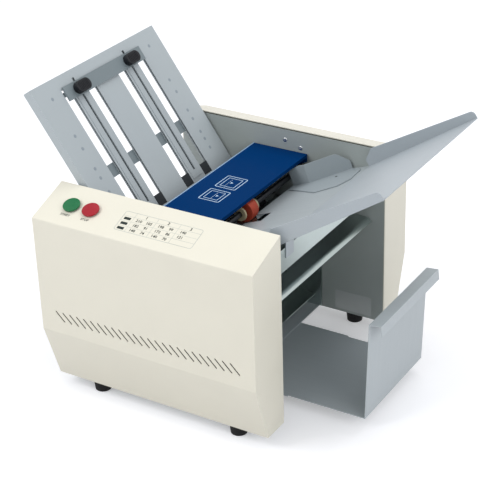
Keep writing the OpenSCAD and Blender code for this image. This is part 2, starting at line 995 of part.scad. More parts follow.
module lower_plate_top() {
  color(zinc)
    difference() {
      union() {
        translate([lower_back, -lower_w / 2, lower_z - sheet])
          cube([lower_l - lip_r, lower_w, sheet]);
        // Rolled front edge, an arc that runs a little into the flat part
        along_y(-lower_w / 2, lower_w / 2)
          translate([lower_front - lip_r, lower_z - lip_r])
            intersection() {
              difference() {
                circle(r = lip_r);
                circle(r = lip_r - sheet);
              }
              polygon([[-0.5, 0], [-0.5, 2 * lip_r], [2 * lip_r, 2 * lip_r], [2 * lip_r, lip_r], [0, 0]]);
            }
      }
      lower_windows(lower_z - 5, 10);
    }
}

module lower_plate_bottom() {
  color(zinc)
    difference() {
      union() {
        translate([lower_back, -half_gap, lower_z - 2 * sheet - paper_gap])
          cube([lower_l - lip_r - 8, gap_w, sheet]);
        for (side = [-1, 1])
          translate([lower_back + 12, side * (half_gap - 7) - 7, lower_z - sheet - paper_gap])
            cube([lower_l - 40, 14, paper_gap]);
        // Side hangers that seat the plate against the side plates
        for (side = [-1, 1])
          translate([lower_back + lower_l / 4, side * (half_gap - 1) - 1, lower_z - 22])
            cube([lower_l * 0.6, 2, 22 - 2 * sheet - paper_gap + eps]);
      }
      lower_windows(lower_z - 12, 14);
    }
}

module lower_stop_bar() {
  color([0.5, 0.53, 0.56]) {
    difference() {
      translate([lower_stop_rest, -90, lower_z + part_gap])
        cube([22, 180, 3]);
      translate([lower_stop_rest + 11, 0, lower_z - 1])
        cylinder(d = 6, h = 10);
    }
    for (side = [-1, 1])
      translate([lower_stop_rest + 5, side * lower_slot_y - 3, lower_z - 2 * sheet - paper_gap + 0.2])
        cube([8, 6, 2 * sheet + paper_gap + part_gap - 0.2 + eps]);
  }
}

module lower_stop_knob() {
  translate([lower_stop_rest + 11, 0, lower_z + 3 + 2 * part_gap]) {
    color(black) {
      cylinder(d = 20, h = 9);
      translate([-2, -15, 0])
        cube([4, 30, 9]);
    }
    color(steel)
      translate([0, 0, -3 - part_gap])
        cylinder(d = 5.4, h = 4);
  }
}

// ---------- roller cover ----------

cover_back = -53;
cover_front = 53;
cover_top = feed_axis[1] + feed_d / 2 + 9;
cover_w = gap_w - 3;
cover_lip = 6;
hinge_x = cover_back + 6;
hinge_z = cover_top - 7;
pin_d = 5;

module roller_cover() {
  color([0.0, 0.24, 0.5])
    difference() {
      union() {
        translate([cover_back, -cover_w / 2, cover_top - sheet])
          cube([cover_front - cover_back, cover_w, sheet]);
        translate([cover_front - sheet, -cover_w / 2, cover_top - cover_lip])
          cube([sheet, cover_w, cover_lip]);
        for (side = [-1, 1])
          translate([0, side * (cover_w / 2 - sheet / 2), 0])
            along_y(-sheet / 2, sheet / 2)
              polygon([
                [cover_back, cover_top],
                [cover_front, cover_top],
                [cover_front, cover_top - 14],
                [cover_front - 24, cover_top - 26],
                [cover_back + 16, cover_top - 16],
                [cover_back, cover_top - 14]
              ]);
      }
      bar_y(pin_d + 2 * running_fit, -half_gap, half_gap, hinge_x, hinge_z);
    }
}

module cover_hinge_pins() {
  color(steel)
    for (side = [0, 1])
      mirror([0, side, 0])
        bar_y(pin_d, cover_w / 2 - 6, half_gap, hinge_x, hinge_z);
}

// ---------- feed table ----------

table_start = [feed_axis[0] + feed_d * 0.22, feed_axis[1] - feed_d / 2 + 3];
module on_table() {
  translate([table_start[0], 0, table_start[1]])
    rotate([0, -table_angle, 0])
      children();
}
table_end = table_start + table_len * [cos(table_angle), sin(table_angle)];
module on_extension() {
  translate([table_end[0], 0, table_end[1]])
    rotate([0, -ext_angle, 0])
      children();
}

table_w = gap_w;
ext_w = gap_w - 2 * ext_side_gap;
guide_y = half_gap - guide_inset;
guide_slot_s = 84;
guide_travel = 50;
table_flange = 7;

module feed_table() {
  color(grey_paint)
    on_table() {
      difference() {
        union() {
          translate([0, -table_w / 2, -sheet])
            cube([table_len, table_w, sheet]);
          // Lip that turns down in front of the feed roller
          translate([-sheet, -table_w / 2, -9])
            cube([sheet, table_w, 9]);
        }
        for (side = [-1, 1])
          translate([guide_slot_s, side * (guide_y + 12 - guide_travel / 2), -5])
            linear_extrude(height = 10)
              rotate(90)
                slot_shape(guide_travel + 12, 7);
        translate([-5, tyre_y - 17, -12])
          cube([36, 34, 20]);
      }
      for (side = [-1, 1])
        translate([0, side * (half_gap - sheet / 2) - sheet / 2, -table_flange])
          cube([table_len - 2, sheet, table_flange]);
    }
}

ext_flange_in = 28;
ext_flange_out = 15;

module feed_extension() {
  // Two tabs that hang in front of the beam
  color(grey_paint)
    for (side = [-1, 1])
      along_y(side * 110 - 12, side * 110 + 12)
        polygon([
          [beam_x, beam_high - 18],
          [beam_x + sheet, beam_high - 18],
          [beam_x + sheet, table_end[1] + 4],
          [beam_x, table_end[1] + 3]
        ]);
  color(grey_paint)
    on_extension() {
      translate([0, -ext_w / 2, 0])
        cube([ext_len, ext_w, sheet]);
      for (side = [-1, 1])
        translate([0, side * (ext_w / 2 - sheet / 2), 0])
          along_y(-sheet / 2, sheet / 2) {
            polygon([
              [0, 0],
              [ext_len, 0],
              [ext_len, ext_flange_out / 2],
              [ext_len - ext_flange_out / 2, ext_flange_out],
              [22, ext_flange_in],
              [2, ext_flange_in / 2],
              [2, sheet]
            ]);
            translate([ext_len - ext_flange_out / 2, ext_flange_out / 2])
              circle(d = ext_flange_out);
          }
    }
}

// A paper guide on the +Y side: a base on the table and an upright that flares outwards
guide_front = 4;
guide_l = 125;
guide_base_w = 53;
flare_s = 37;
flare_end = 99;
flare_out = 44;
flare_angle = atan2(flare_out, flare_end - flare_s);
flare_len = norm([flare_out, flare_end - flare_s]);
module paper_guide() {
  on_table()
    translate([0, guide_y, part_gap / 2]) {
      difference() {
        linear_extrude(height = sheet)
          polygon([
            [guide_front, sheet / 3],
            [guide_front, -guide_base_w / 3],
            [guide_l * 0.62, -guide_base_w],
            [guide_l * 0.91, -guide_base_w * 0.7],
            [guide_l, -guide_base_w * 0.23],
            [guide_l - 3, 30],
            [flare_end + 13, flare_out - 1],
            [flare_end - 0.5, flare_out - 0.2],
            [flare_s - 0.3, sheet / 3]
          ]);
        translate([guide_slot_s, 12, -1])
          cylinder(d = 5 + 2 * running_fit, h = 5);
      }
      difference() {
        linear_extrude(height = guide_h)
          polygon([
            [guide_front, 0],
            [flare_s, 0],
            [flare_end, flare_out],
            [flare_end - 0.9, flare_out + sheet - 0.3],
            [flare_s - 0.5, sheet],
            [guide_front, sheet]
          ]);
        translate([flare_s, 0, 0])
          rotate(flare_angle)
            guide_corner_cut();
        guide_rear_cut();
      }
    }
}

// What is cut off the top corner of a guide's flared part
module guide_corner_cut() {
  low = guide_h * 0.45;
  run = 20;
  high = guide_h + 0.2;
  bend = rounded([0, high], [flare_len - run, high], [flare_len, low], 12);
  along_y(-2, sheet + 2)
    polygon(concat(
      [[bend[0][0], guide_h + 1]],
      bend,
      [[flare_len + 2, low - 2 * (high - low) / run], [flare_len + 2, guide_h + 1]]
    ));
}

// What is cut off a guide's rear top corner, so that it stays below the roller cover's lip
guide_rear_rise = 0.32;
module guide_rear_cut() {
  lip = turned([cover_front, cover_top - cover_lip] - table_start, -table_angle);
  low = lip[1] - 3 * part_gap;
  along_y(-2, sheet + 2)
    polygon([
      [guide_front - 1, 60],
      [guide_front - 1, low + guide_rear_rise * (guide_front - 1 - lip[0])],
      [60, low + guide_rear_rise * (60 - lip[0])],
      [60, 60]
    ]);
}

module near_paper_guide() color(grey_paint) mirror([0, 1, 0]) paper_guide();
module far_paper_guide() color(grey_paint) paper_guide();

module guide_knob() {
  on_table()
    translate([guide_slot_s, guide_y + 12, 0]) {
      color(black)
        translate([0, 0, -sheet - 12 - part_gap])
          round_knob();
      color(steel)
        translate([0, 0, -sheet - 1])
          cylinder(d = 5, h = sheet + 1 + part_gap / 2 + sheet);
    }
}

module round_knob() {
  difference() {
    cylinder(d = 20, h = 12);
    for (i = [0 : 11])
      rotate(i * 30)
        translate([10.6, 0, -1])
          cylinder(d = 3, h = 14, $fn = 16);
  }
}

module near_guide_knob() mirror([0, 1, 0]) guide_knob();
module far_guide_knob() guide_knob();

// ---------- separator under the feed roller ----------

pad_t = 4;
module separator_arm() {
  color(dark_grey) {
    translate([feed_axis[0] - 14, tyre_y - 13, feed_axis[1] - feed_d / 2 - part_gap - pad_t - 3])
      cube([30, 26, 3]);
    translate([feed_axis[0] - 14, tyre_y - 3, feed_axis[1] - feed_d / 2 - part_gap - pad_t - 34])
      cube([10, 6, 32]);
    bar_y(10, -half_gap, half_gap, feed_axis[0] - 9, feed_axis[1] - feed_d / 2 - pad_t - 36);
  }
}

module separator_pad() {
  color([0.35, 0.2, 0.14])
    translate([feed_axis[0] - 11, tyre_y - 11, feed_axis[1] - feed_d / 2 - part_gap - pad_t])
      cube([24, 22, pad_t]);
}

// ---------- exit ----------

chute_top = roller_4[1] - 20.7;
chute_r = chute_top - bottom_z - 34;
cheek_front = base_front + 5;
module exit_chute() {
  color(zinc) {
    along_y(-half_gap, half_gap)
      translate([base_front - 8, bottom_z + 22 + chute_r])
        intersection() {
          difference() {
            circle(r = chute_r);
            circle(r = chute_r - sheet);
          }
          translate([-chute_r - 1, -chute_r - 1])
            square([chute_r + 1, chute_r + 1 + 12]);
        }
    // Cheeks that keep the folded sheets off the side plates
    for (side = [0, 1])
      mirror([0, side, 0])
        along_y(half_gap - sheet - 1.5, half_gap - sheet)
          polygon([
            [cheek_front - chute_r + 4, chute_top],
            [cheek_front - chute_r + 4, chute_top - 20],
            [base_front - 30, bottom_z + sheet],
            [cheek_front, bottom_z + sheet],
            [cheek_front, chute_top]
          ]);
  }
}

tray_wall_x = half_len + tray_reach;
tray_back = -60;
tray_top = bottom_z - part_gap;
tray_lean = 6;

module exit_tray() {
  color(grey_paint) {
    translate([tray_back, -tray_w / 2 - 3, tray_top - sheet])
      cube([168 - tray_back, tray_w + 6, sheet]);
    translate([168 - eps, -tray_w / 2, tray_top - sheet])
      cube([tray_wall_x - 168, tray_w, sheet]);
    along_y(-tray_w / 2, tray_w / 2)
      polygon([
        [tray_wall_x - sheet, tray_top - sheet],
        [tray_wall_x, tray_top - sheet],
        [tray_wall_x + tray_lean, tray_top + tray_wall_h - sheet],
        [tray_wall_x + tray_lean + tray_lip, tray_top + tray_wall_h + 2 - sheet],
        [tray_wall_x + tray_lean + tray_lip + 2, tray_top + tray_wall_h - 16],
        [tray_wall_x + tray_lean + tray_lip + 2 + sheet, tray_top + tray_wall_h - 16],
        [tray_wall_x + tray_lean + tray_lip + sheet, tray_top + tray_wall_h + 2],
        [tray_wall_x + tray_lean - sheet, tray_top + tray_wall_h]
      ]);
  }
}

// ---------- fasteners ----------

// Pan heads on the inner faces of the side plates
pan_head_places = [[9, top_z - 23], [39, top_z - 32.5]];
pan_head_h = 1.1;

module case_screws() {
  color(steel)
    for (side = [0, 1])
      mirror([0, side, 0]) {
        cover_screw_places() {
          cylinder(d1 = 8, d2 = 5.5, h = 2);
          translate([0, 0, -10])
            cylinder(d = 4, h = 10 + eps);
        }
        for (p = pan_head_places)
          bar_y(8, half_gap - pan_head_h, half_gap, p[0], p[1]);
        for (p = tie_places)
          bar_y(10, half_gap + side_sheet, half_gap + side_sheet + 4, p[0], p[1]);
      }
}

// The origin is under the middle of the whole machine
reach_front = table_end[0] + ext_len * cos(ext_angle);
reach_back = plate_top[0] - plate_flange * sin(plate_angle);
module centred() {
  translate([-(reach_front + reach_back) / 2, 0, 0])
    children();
}

// ---------- the parts ----------

centred() near_side_plate();
centred() far_side_plate();
centred() base_plate();
centred() rear_panel();
centred() front_beam();
centred() tie_rods();
centred() near_cover();
centred() far_cover();
centred() rubber_feet();
centred() case_screws();
centred() start_button();
centred() stop_button();
centred() button_bodies();
centred() control_board();
centred() power_inlet();
centred() upper_plate_front();
centred() upper_plate_back();
centred() upper_plate_rails();
centred() upper_plate_cross_bar();
centred() upper_plate_stop_pads();
centred() upper_stop_bar();
centred() upper_stop_knob_near();
centred() upper_stop_knob_far();
centred() plate_studs();
centred() lower_plate_top();
centred() lower_plate_bottom();
centred() lower_stop_bar();
centred() lower_stop_knob();
centred() roller_cover();
centred() cover_hinge_pins();
centred() feed_table();
centred() feed_extension();
centred() near_paper_guide();
centred() far_paper_guide();
centred() near_guide_knob();
centred() far_guide_knob();
centred() separator_arm();
centred() separator_pad();
centred() feed_shaft();
centred() feed_tyre();
centred() feed_collars();
centred() fold_roller_1();
centred() fold_roller_2();
centred() fold_roller_3();
centred() fold_roller_4();
centred() roller_bushes();
centred() roller_gears_1();
centred() roller_gears_2();
centred() roller_gears_3();
centred() roller_gears_4();
centred() feed_gear();
centred() idler_gear();
centred() idler_pin();
centred() motor();
centred() motor_shaft();
centred() motor_pulley();
centred() drive_pulley();
centred() drive_belt();
centred() exit_chute();
centred() exit_tray();
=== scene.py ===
import math

import bmesh
import bpy
from mathutils import Matrix, Vector


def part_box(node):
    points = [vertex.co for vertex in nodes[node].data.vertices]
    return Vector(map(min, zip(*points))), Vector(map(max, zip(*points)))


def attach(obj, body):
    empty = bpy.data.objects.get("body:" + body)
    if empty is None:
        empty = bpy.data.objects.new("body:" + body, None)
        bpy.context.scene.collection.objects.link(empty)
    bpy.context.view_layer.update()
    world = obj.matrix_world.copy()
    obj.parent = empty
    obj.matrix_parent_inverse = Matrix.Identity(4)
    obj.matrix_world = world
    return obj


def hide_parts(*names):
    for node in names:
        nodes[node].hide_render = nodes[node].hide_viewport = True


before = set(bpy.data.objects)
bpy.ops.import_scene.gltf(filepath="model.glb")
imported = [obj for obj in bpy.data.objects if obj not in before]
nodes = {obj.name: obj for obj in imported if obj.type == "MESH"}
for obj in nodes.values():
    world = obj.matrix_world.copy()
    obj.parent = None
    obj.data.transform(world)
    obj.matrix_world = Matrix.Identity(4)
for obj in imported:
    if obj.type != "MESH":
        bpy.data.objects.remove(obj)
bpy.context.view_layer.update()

# ---------------------------------------------------------------- camera
# The photograph's view: from the front left and above, with a long lens.
# Places are in millimetres from the middle of the housings, as in the part's source.
shell_low, shell_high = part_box("near_cover")
middle_x = (shell_low.x + shell_high.x) / 2


def place(x, y, z):
    """A point in millimetres about the housings' middle, as a point of the frame in metres."""
    return Vector((middle_x + x / 1000, y / 1000, z / 1000))


def seat(origin, x_axis, y_axis):
    """The matrix of a working plane: its origin in the frame, and its own x and y directions."""
    x, y = Vector(x_axis).normalized(), Vector(y_axis).normalized()
    axes = Matrix((x, y, x.cross(y))).transposed().to_4x4()
    return Matrix.Translation(origin) @ axes


# The camera's heading, how far it looks down, and how far it leans to one side
turn, tilt, lean = math.radians(31.748), math.radians(28.028), math.radians(-1.748)
ahead = math.cos(tilt)
look = Vector((-math.sin(turn) * ahead, math.cos(turn) * ahead, -math.sin(tilt)))
level = Vector((math.cos(turn), math.sin(turn), 0))
upright = level.cross(look)
camera_right = level * math.cos(lean) + upright * math.sin(lean)
camera_up = upright * math.cos(lean) - level * math.sin(lean)
camera_spot = place(1186.80, -1853.90, 1369.42)

camera_data = bpy.data.cameras.new("camera")
camera_data.lens = 108.137
camera_data.sensor_width = 36
camera_data.clip_start = 0.05
camera_data.clip_end = 60
camera = bpy.data.objects.new("camera", camera_data)
camera.matrix_world = seat(camera_spot, camera_right, camera_up)
bpy.context.scene.collection.objects.link(camera)
bpy.context.scene.camera = camera

# ---------------------------------------------------------------- floor and light
# A wide matt white studio floor under soft lamps.
# The background is the colour of the floor and the world, seen by the camera and in gloss.
bpy.context.scene.view_settings.view_transform = "Standard"


def linear(code):
    """An sRGB hex colour as the linear values that Blender's sockets take, and full alpha."""
    values = [int(code[i : i + 2], 16) / 255 for i in (0, 2, 4)]
    return [v / 12.92 if v <= 0.04045 else ((v + 0.055) / 1.055) ** 2.4 for v in values] + [1.0]


def add(tree, kind, settings=None, **inputs):
    """Adds a node with its settings; an input is a value, a link, or a tuple of links.

    An input is named as its socket is, with _ for a space, or by its number after a _."""
    made = tree.nodes.new(kind)
    for name, value in (settings or {}).items():
        setattr(made, name, value)
    for name, value in inputs.items():
        socket = made.inputs[int(name[1:]) if name[0] == "_" else name.replace("_", " ")]
        many = isinstance(value, tuple) and isinstance(value[0], bpy.types.NodeSocket)
        for one in value if many else (value,):
            if isinstance(one, bpy.types.NodeSocket):
                tree.links.new(one, socket)
            else:
                socket.default_value = one
    return made


def shown_rays(tree):
    """1 for the rays that see the background: the camera's, and those through gloss or glass."""
    path = add(tree, "ShaderNodeLightPath").outputs
    seen = path["Is Camera Ray"]
    for ray in ("Is Transmission Ray", "Is Glossy Ray"):
        either = add(tree, "ShaderNodeMath", {"operation": "MAXIMUM"}, _0=seen, _1=path[ray])
        seen = either.outputs[0]
    return seen


def blank_material(name):
    """A new material with nothing in its node tree, and that tree."""
    material = bpy.data.materials.new(name)
    material.use_nodes = True
    material.node_tree.nodes.clear()
    return material, material.node_tree


# The world lights the object a little coolly, and is plain white to look at
world = bpy.data.worlds.new("studio")
bpy.context.scene.world = world
world.use_nodes = True
tree = world.node_tree
tree.nodes.clear()
room_light = add(tree, "ShaderNodeBackground", Color=linear("f8faff"), Strength=0.62)
white_wall = add(tree, "ShaderNodeBackground", Color=(1, 1, 1, 1), Strength=1.0)
room = add(
    tree,
    "ShaderNodeMixShader",
    _0=shown_rays(tree),
    _1=room_light.outputs[0],
    _2=white_wall.outputs[0],
)
add(tree, "ShaderNodeOutputWorld", Surface=room.outputs[0])

# Matt white paint, lifted to the background's white only where it is looked at
floor_material, tree = blank_material("studio_floor")
matt = add(tree, "ShaderNodeBsdfDiffuse", Color=linear("ececee"), Roughness=0.5)
lift = add(tree, "ShaderNodeEmission", Color=(1, 1, 1, 1), Strength=0.30)
lifted = add(tree, "ShaderNodeAddShader", _0=matt.outputs[0], _1=lift.outputs[0])
paint = add(
    tree, "ShaderNodeMixShader", _0=shown_rays(tree), _1=matt.outputs[0], _2=lifted.outputs[0]
)
add(tree, "ShaderNodeOutputMaterial", Surface=paint.outputs[0])
floor_mesh = bpy.data.meshes.new("studio_floor")
floor_half, floor_level = 9, -0.0004
floor_corners = [
    (x * floor_half, y * floor_half, floor_level)
    for x, y in ((-1, -1), (1, -1), (1, 1), (-1, 1))
]
floor_mesh.from_pydata(floor_corners, [], [(0, 1, 2, 3)])
floor_mesh.materials.append(floor_material)
floor = bpy.data.objects.new("studio_floor", floor_mesh)
bpy.context.scene.collection.objects.link(floor)

lamp_target = Vector((0, 0, 0.2))
for name, stand, size, power in (
    ("key_lamp", (-1.3, -1.9, 2.3), 1.5, 34),
    ("fill_lamp", (2.6, -1.0, 1.5), 1.5, 20),
    ("top_lamp", (0.2, 0.9, 2.6), 1.8, 22),
):
    lamp_data = bpy.data.lights.new(name, "AREA")
    lamp_data.shape = "SQUARE"
    lamp_data.size = size
    lamp_data.energy = power
    lamp = bpy.data.objects.new(name, lamp_data)
    lamp.location = stand
    lamp.rotation_mode = "QUATERNION"
    lamp.rotation_quaternion = (lamp_target - Vector(stand)).to_track_quat("-Z", "Y")
    bpy.context.scene.collection.objects.link(lamp)

# ---------------------------------------------------------------- side plates and frame
# Two upright zinc-plated sheets carry every shaft between them; a beam, rods and a chute join them.
# The folded sheets are left bare: cool grey, with faint rolling streaks along their length.
side_face = 173.5  # from the machine's middle to the side plates' inner faces


def soften(width, *names, steps=3):
    """Rounds the sharp edges of CAD nodes by width millimetres, as bending and tumbling do."""
    for name in names:
        # A CAD mesh is loose triangles: they are joined, and each flat face is made whole first
        weld = nodes[name].modifiers.new("weld", "WELD")
        weld.merge_threshold = 0.00001
        flat = nodes[name].modifiers.new("flat", "DECIMATE")
        flat.decimate_type = "DISSOLVE"
        flat.angle_limit = math.radians(0.5)
        round_off = nodes[name].modifiers.new("round_off", "BEVEL")
        round_off.width = width / 1000
        round_off.segments = steps
        round_off.limit_method = "ANGLE"
        round_off.angle_limit = math.radians(30)
        round_off.harden_normals = True


def wear(material, *names):
    """Gives CAD nodes their material, in every slot."""
    for name in names:
        if not nodes[name].data.materials:
            nodes[name].data.materials.append(material)
        for finish in nodes[name].material_slots:
            finish.material = material


def shaded(colour, change):
    """A hex colour made darker or lighter by a share, as linear values."""
    return [min(1, c * (1 + change)) for c in linear(colour)[:3]] + [1]


def surface(tree, tone, dull, roughness, relief, *, give, strength, height, **sockets):
    """Ends a material: its roughness follows one pattern, dull, and its bumps another, relief.

    Roughness changes by give each way, height is the relief's in metres, and sockets are the
    shader's even values."""
    rough = add(
        tree,
        "ShaderNodeMapRange",
        Value=dull,
        To_Min=roughness - give,
        To_Max=roughness + give,
    )
    bump = add(tree, "ShaderNodeBump", Height=relief, Strength=strength, Distance=height)
    skin = add(
        tree,
        "ShaderNodeBsdfPrincipled",
        Base_Color=tone,
        Roughness=rough.outputs[0],
        Normal=bump.outputs[0],
        **sockets,
    )
    add(tree, "ShaderNodeOutputMaterial", Surface=skin.outputs[0])


def plated_sheet(name, colour, roughness, streak, metal):
    """Bare or plated metal: streak is the size of its rolling or turning marks in millimetres.

    It is given along x, y and z."""
    material, tree = blank_material(name)
    where = add(tree, "ShaderNodeTexCoord").outputs["Object"]
    stretched = add(
        tree, "ShaderNodeMapping", Vector=where, Scale=[1000 / size for size in streak]
    )
    lines = add(tree, "ShaderNodeTexNoise", Vector=stretched.outputs[0], Scale=1.0, Detail=3.0)
    # Faint patches of the passivation, 35 mm across
    patches = add(tree, "ShaderNodeTexNoise", Vector=where, Scale=1000 / 35, Detail=4.0)
    tone = add(
        tree,
        "ShaderNodeMix",
        {"data_type": "RGBA"},
        _0=patches.outputs["Fac"],
        _6=shaded(colour, -0.05),
        _7=shaded(colour, 0.05),
    )
    marks = lines.outputs["Fac"]
    surface(
        tree,
        tone.outputs[2],
        marks,
        roughness,
        marks,
        give=0.05,
        strength=0.2,
        height=0.000002,
        Metallic=metal,
    )
    return material


# The side sheets are passivated matt, so they mirror little
side_zinc = plated_sheet("matt_zinc_side_sheet", "a6adaa", 0.55, (60, 2, 2), 0.2)
wear(side_zinc, "near_side_plate", "far_side_plate")
# The beam and the chute are passivated bright, and mirror the studio in soft streaks
beam_zinc = plated_sheet("bright_zinc_beam_sheet", "b9c4c2", 0.30, (2, 60, 2), 1.0)
wear(beam_zinc, "front_beam", "exit_chute")
soften(0.9, "front_beam")


def prism(shape, at, outline, low, high):
    """Adds a closed prism: a counter-clockwise outline in millimetres, between two heights."""
    lower, upper = [
        [shape.verts.new(at @ Vector((x / 1000, y / 1000, z / 1000))) for x, y in outline]
        for z in (low, high)
    ]
    shape.faces.new(list(reversed(lower)))
    shape.faces.new(upper)
    for i in range(len(outline)):
        j = (i + 1) % len(outline)
        shape.faces.new((lower[i], lower[j], upper[j], upper[i]))


def rounded_box(x0, y0, x1, y1, radius):
    """The counter-clockwise outline of a rectangle with rounded corners, in millimetres."""
    steps = 5
    corners = (
        (x1 - radius, y1 - radius, 0),
        (x0 + radius, y1 - radius, 90),
        (x0 + radius, y0 + radius, 180),
        (x1 - radius, y0 + radius, 270),
    )
    outline = []
    for x, y, start in corners:
        for i in range(steps + 1):
            angle = math.radians(start + 90 * i / steps)
            outline.append((x + radius * math.cos(angle), y + radius * math.sin(angle)))
    return outline


def made(name, shape, material, body, slot):
    """Turns a bmesh into a piece of the object that rides on a body."""
    mesh = bpy.data.meshes.new(name)
    shape.to_mesh(mesh)
    shape.free()
    mesh.materials.append(material)
    mesh.polygons.foreach_set("material_index", [0] * len(mesh.polygons))
    mesh.shade_smooth()
    mesh.set_sharp_from_angle(angle=math.radians(35))
    piece = bpy.data.objects.new(name, mesh)
    bpy.context.scene.collection.objects.link(piece)
    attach(piece, body)
    return piece


# A plain plate of satin aluminium foil, 70 x 36 mm, low on the far side plate's inner face
foil = plated_sheet("satin_aluminium_foil", "b4b9b8", 0.5, (40, 1, 1), 0.5)
foil_thickness = 0.2
far_wall = seat(place(0, side_face, 0), (1, 0, 0), (0, 0, 1))
shape = bmesh.new()
prism(shape, far_wall, rounded_box(106, 30, 176, 66, 2.5), 0, foil_thickness)
made("bare_foil_plate", shape, foil, "frame", "zinc")

# ---------------------------------------------------------------- case screws
# Zinc-plated pan-head screws with a cross recess hold the covers, the feet and the cover's hinge.
# Pressed heads with a low dome; the tie rods end in hexagon nuts on round washers.

# Bright turned steel; its marks are about 0.1 mm apart, and are drawn 0.8 mm apart to show
bright_steel = plated_sheet("bright_turned_steel", "c9cbcd", 0.28, (0.8, 0.8, 0.8), 1.0)


def node_tree(name, sizes):
    """Starts a Geometry Nodes tree: points and named sizes in metres come in, a mesh goes out."""
    tree = bpy.data.node_groups.new(name, "GeometryNodeTree")
    tree.interface.new_socket("Geometry", in_out="INPUT", socket_type="NodeSocketGeometry")
    for label, value in sizes.items():
        socket = tree.interface.new_socket(label, in_out="INPUT", socket_type="NodeSocketFloat")
        socket.default_value = value
    tree.interface.new_socket("Geometry", in_out="OUTPUT", socket_type="NodeSocketGeometry")
    return tree, tree.nodes.new("NodeGroupInput").outputs


def planted(tree, given, shape, material):
    """Ends a tree: the shape stands at every point, turned as the point says, as real mesh."""
    turned = add(
        tree, "GeometryNodeInputNamedAttribute", {"data_type": "FLOAT_VECTOR"}, Name="turn"
    )
    copies = add(
        tree,
        "GeometryNodeInstanceOnPoints",
        Points=given["Geometry"],
        Instance=shape,
        Rotation=turned.outputs["Attribute"],
    )
    real = add(tree, "GeometryNodeRealizeInstances", Geometry=copies.outputs[0])
    coloured = add(
        tree, "GeometryNodeSetMaterial", Geometry=real.outputs[0], Material=material
    )
    add(tree, "NodeGroupOutput", Geometry=coloured.outputs[0])


def facing(outward, along):
    """The turn that points a shape's z outward and its x along."""
    z = Vector(outward).normalized()
    y = z.cross(Vector(along)).normalized()
    return tuple(Matrix((y.cross(z), y, z)).transposed().to_euler("XYZ"))


def grow(shape, tree, points, sizes):
    """Runs a tree over points, each a place and a turn, and adds the plain result to a bmesh.

    The sizes are in millimetres."""
    mesh = bpy.data.meshes.new(tree.name)
    mesh.from_pydata([stand for stand, turned in points], [], [])
    turns = mesh.attributes.new("turn", "FLOAT_VECTOR", "POINT")
    turns.data.foreach_set("vector", [angle for stand, turned in points for angle in turned])
    carrier = bpy.data.objects.new(tree.name, mesh)
    bpy.context.scene.collection.objects.link(carrier)
    modifier = carrier.modifiers.new("grow", "NODES")
    modifier.node_group = tree
    for item in tree.interface.items_tree:
        if item.in_out == "INPUT" and item.name in sizes:
            modifier[item.identifier] = sizes[item.name] / 1000
    graph = bpy.context.evaluated_depsgraph_get()
    finished = bpy.data.meshes.new_from_object(carrier.evaluated_get(graph))
    shape.from_mesh(finished)
    bpy.data.objects.remove(carrier)
    bpy.data.meshes.remove(finished)


times = {"operation": "MULTIPLY"}
head_tree, given = node_tree(
    "cross_recess_heads", {"Head Diameter": 0.008, "Head Height": 0.002, "Shank Length": 0.01}
)
head_radius = add(head_tree, "ShaderNodeMath", times, _0=given["Head Diameter"], _1=0.5)
# The dome is the upper half of a ball of radius 1, which is stretched to size at the end
ball = add(head_tree, "GeometryNodeMeshUVSphere", Segments=24, Rings=12, Radius=1.0)
block = add(head_tree, "GeometryNodeMeshCube", Size=(3, 3, 1.5))
upper_block = add(
    head_tree, "GeometryNodeTransform", Geometry=block.outputs[0], Translation=(0, 0, 0.75)
)
dome = add(
    head_tree,
    "GeometryNodeMeshBoolean",
    {"operation": "INTERSECT"},
    _1=(ball.outputs[0], upper_block.outputs[0]),
)
# Two crossed bars cut the recess; one is a little deeper, so that no two faces coincide
bars = []
for size in ((1.1, 0.24, 1), (0.24, 1.1, 1.06)):
    bar = add(head_tree, "GeometryNodeMeshCube", Size=size)
    raised_bar = add(
        head_tree, "GeometryNodeTransform", Geometry=bar.outputs[0], Translation=(0, 0, 0.95)
    )
    bars.append(raised_bar.outputs[0])
recessed = add(
    head_tree,
    "GeometryNodeMeshBoolean",
    {"operation": "DIFFERENCE"},
    _0=dome.outputs[0],
    _1=tuple(bars),
)
head_size = add(
    head_tree,
    "ShaderNodeCombineXYZ",
    X=head_radius.outputs[0],
    Y=head_radius.outputs[0],
    Z=given["Head Height"],
)
head = add(
    head_tree, "GeometryNodeTransform", Geometry=recessed.outputs[0], Scale=head_size.outputs[0]
)
# The shank is half as thick as the head, and reaches a little into it
shank_radius = add(head_tree, "ShaderNodeMath", times, _0=head_radius.outputs[0], _1=0.5)
shank = add(
    head_tree,
    "GeometryNodeMeshCylinder",
    Vertices=16,
    Radius=shank_radius.outputs[0],
    Depth=given["Shank Length"],
)
shank_drop = add(head_tree, "ShaderNodeMath", times, _0=given["Shank Length"], _1=-0.49)
shank_place = add(head_tree, "ShaderNodeCombineXYZ", Z=shank_drop.outputs[0])
low_shank = add(
    head_tree,
    "GeometryNodeTransform",
    Geometry=shank.outputs[0],
    Translation=shank_place.outputs[0],
)
screw = add(
    head_tree, "GeometryNodeJoinGeometry", Geometry=(head.outputs[0], low_shank.outputs[0])
)
planted(head_tree, given, screw.outputs[0], bright_steel)

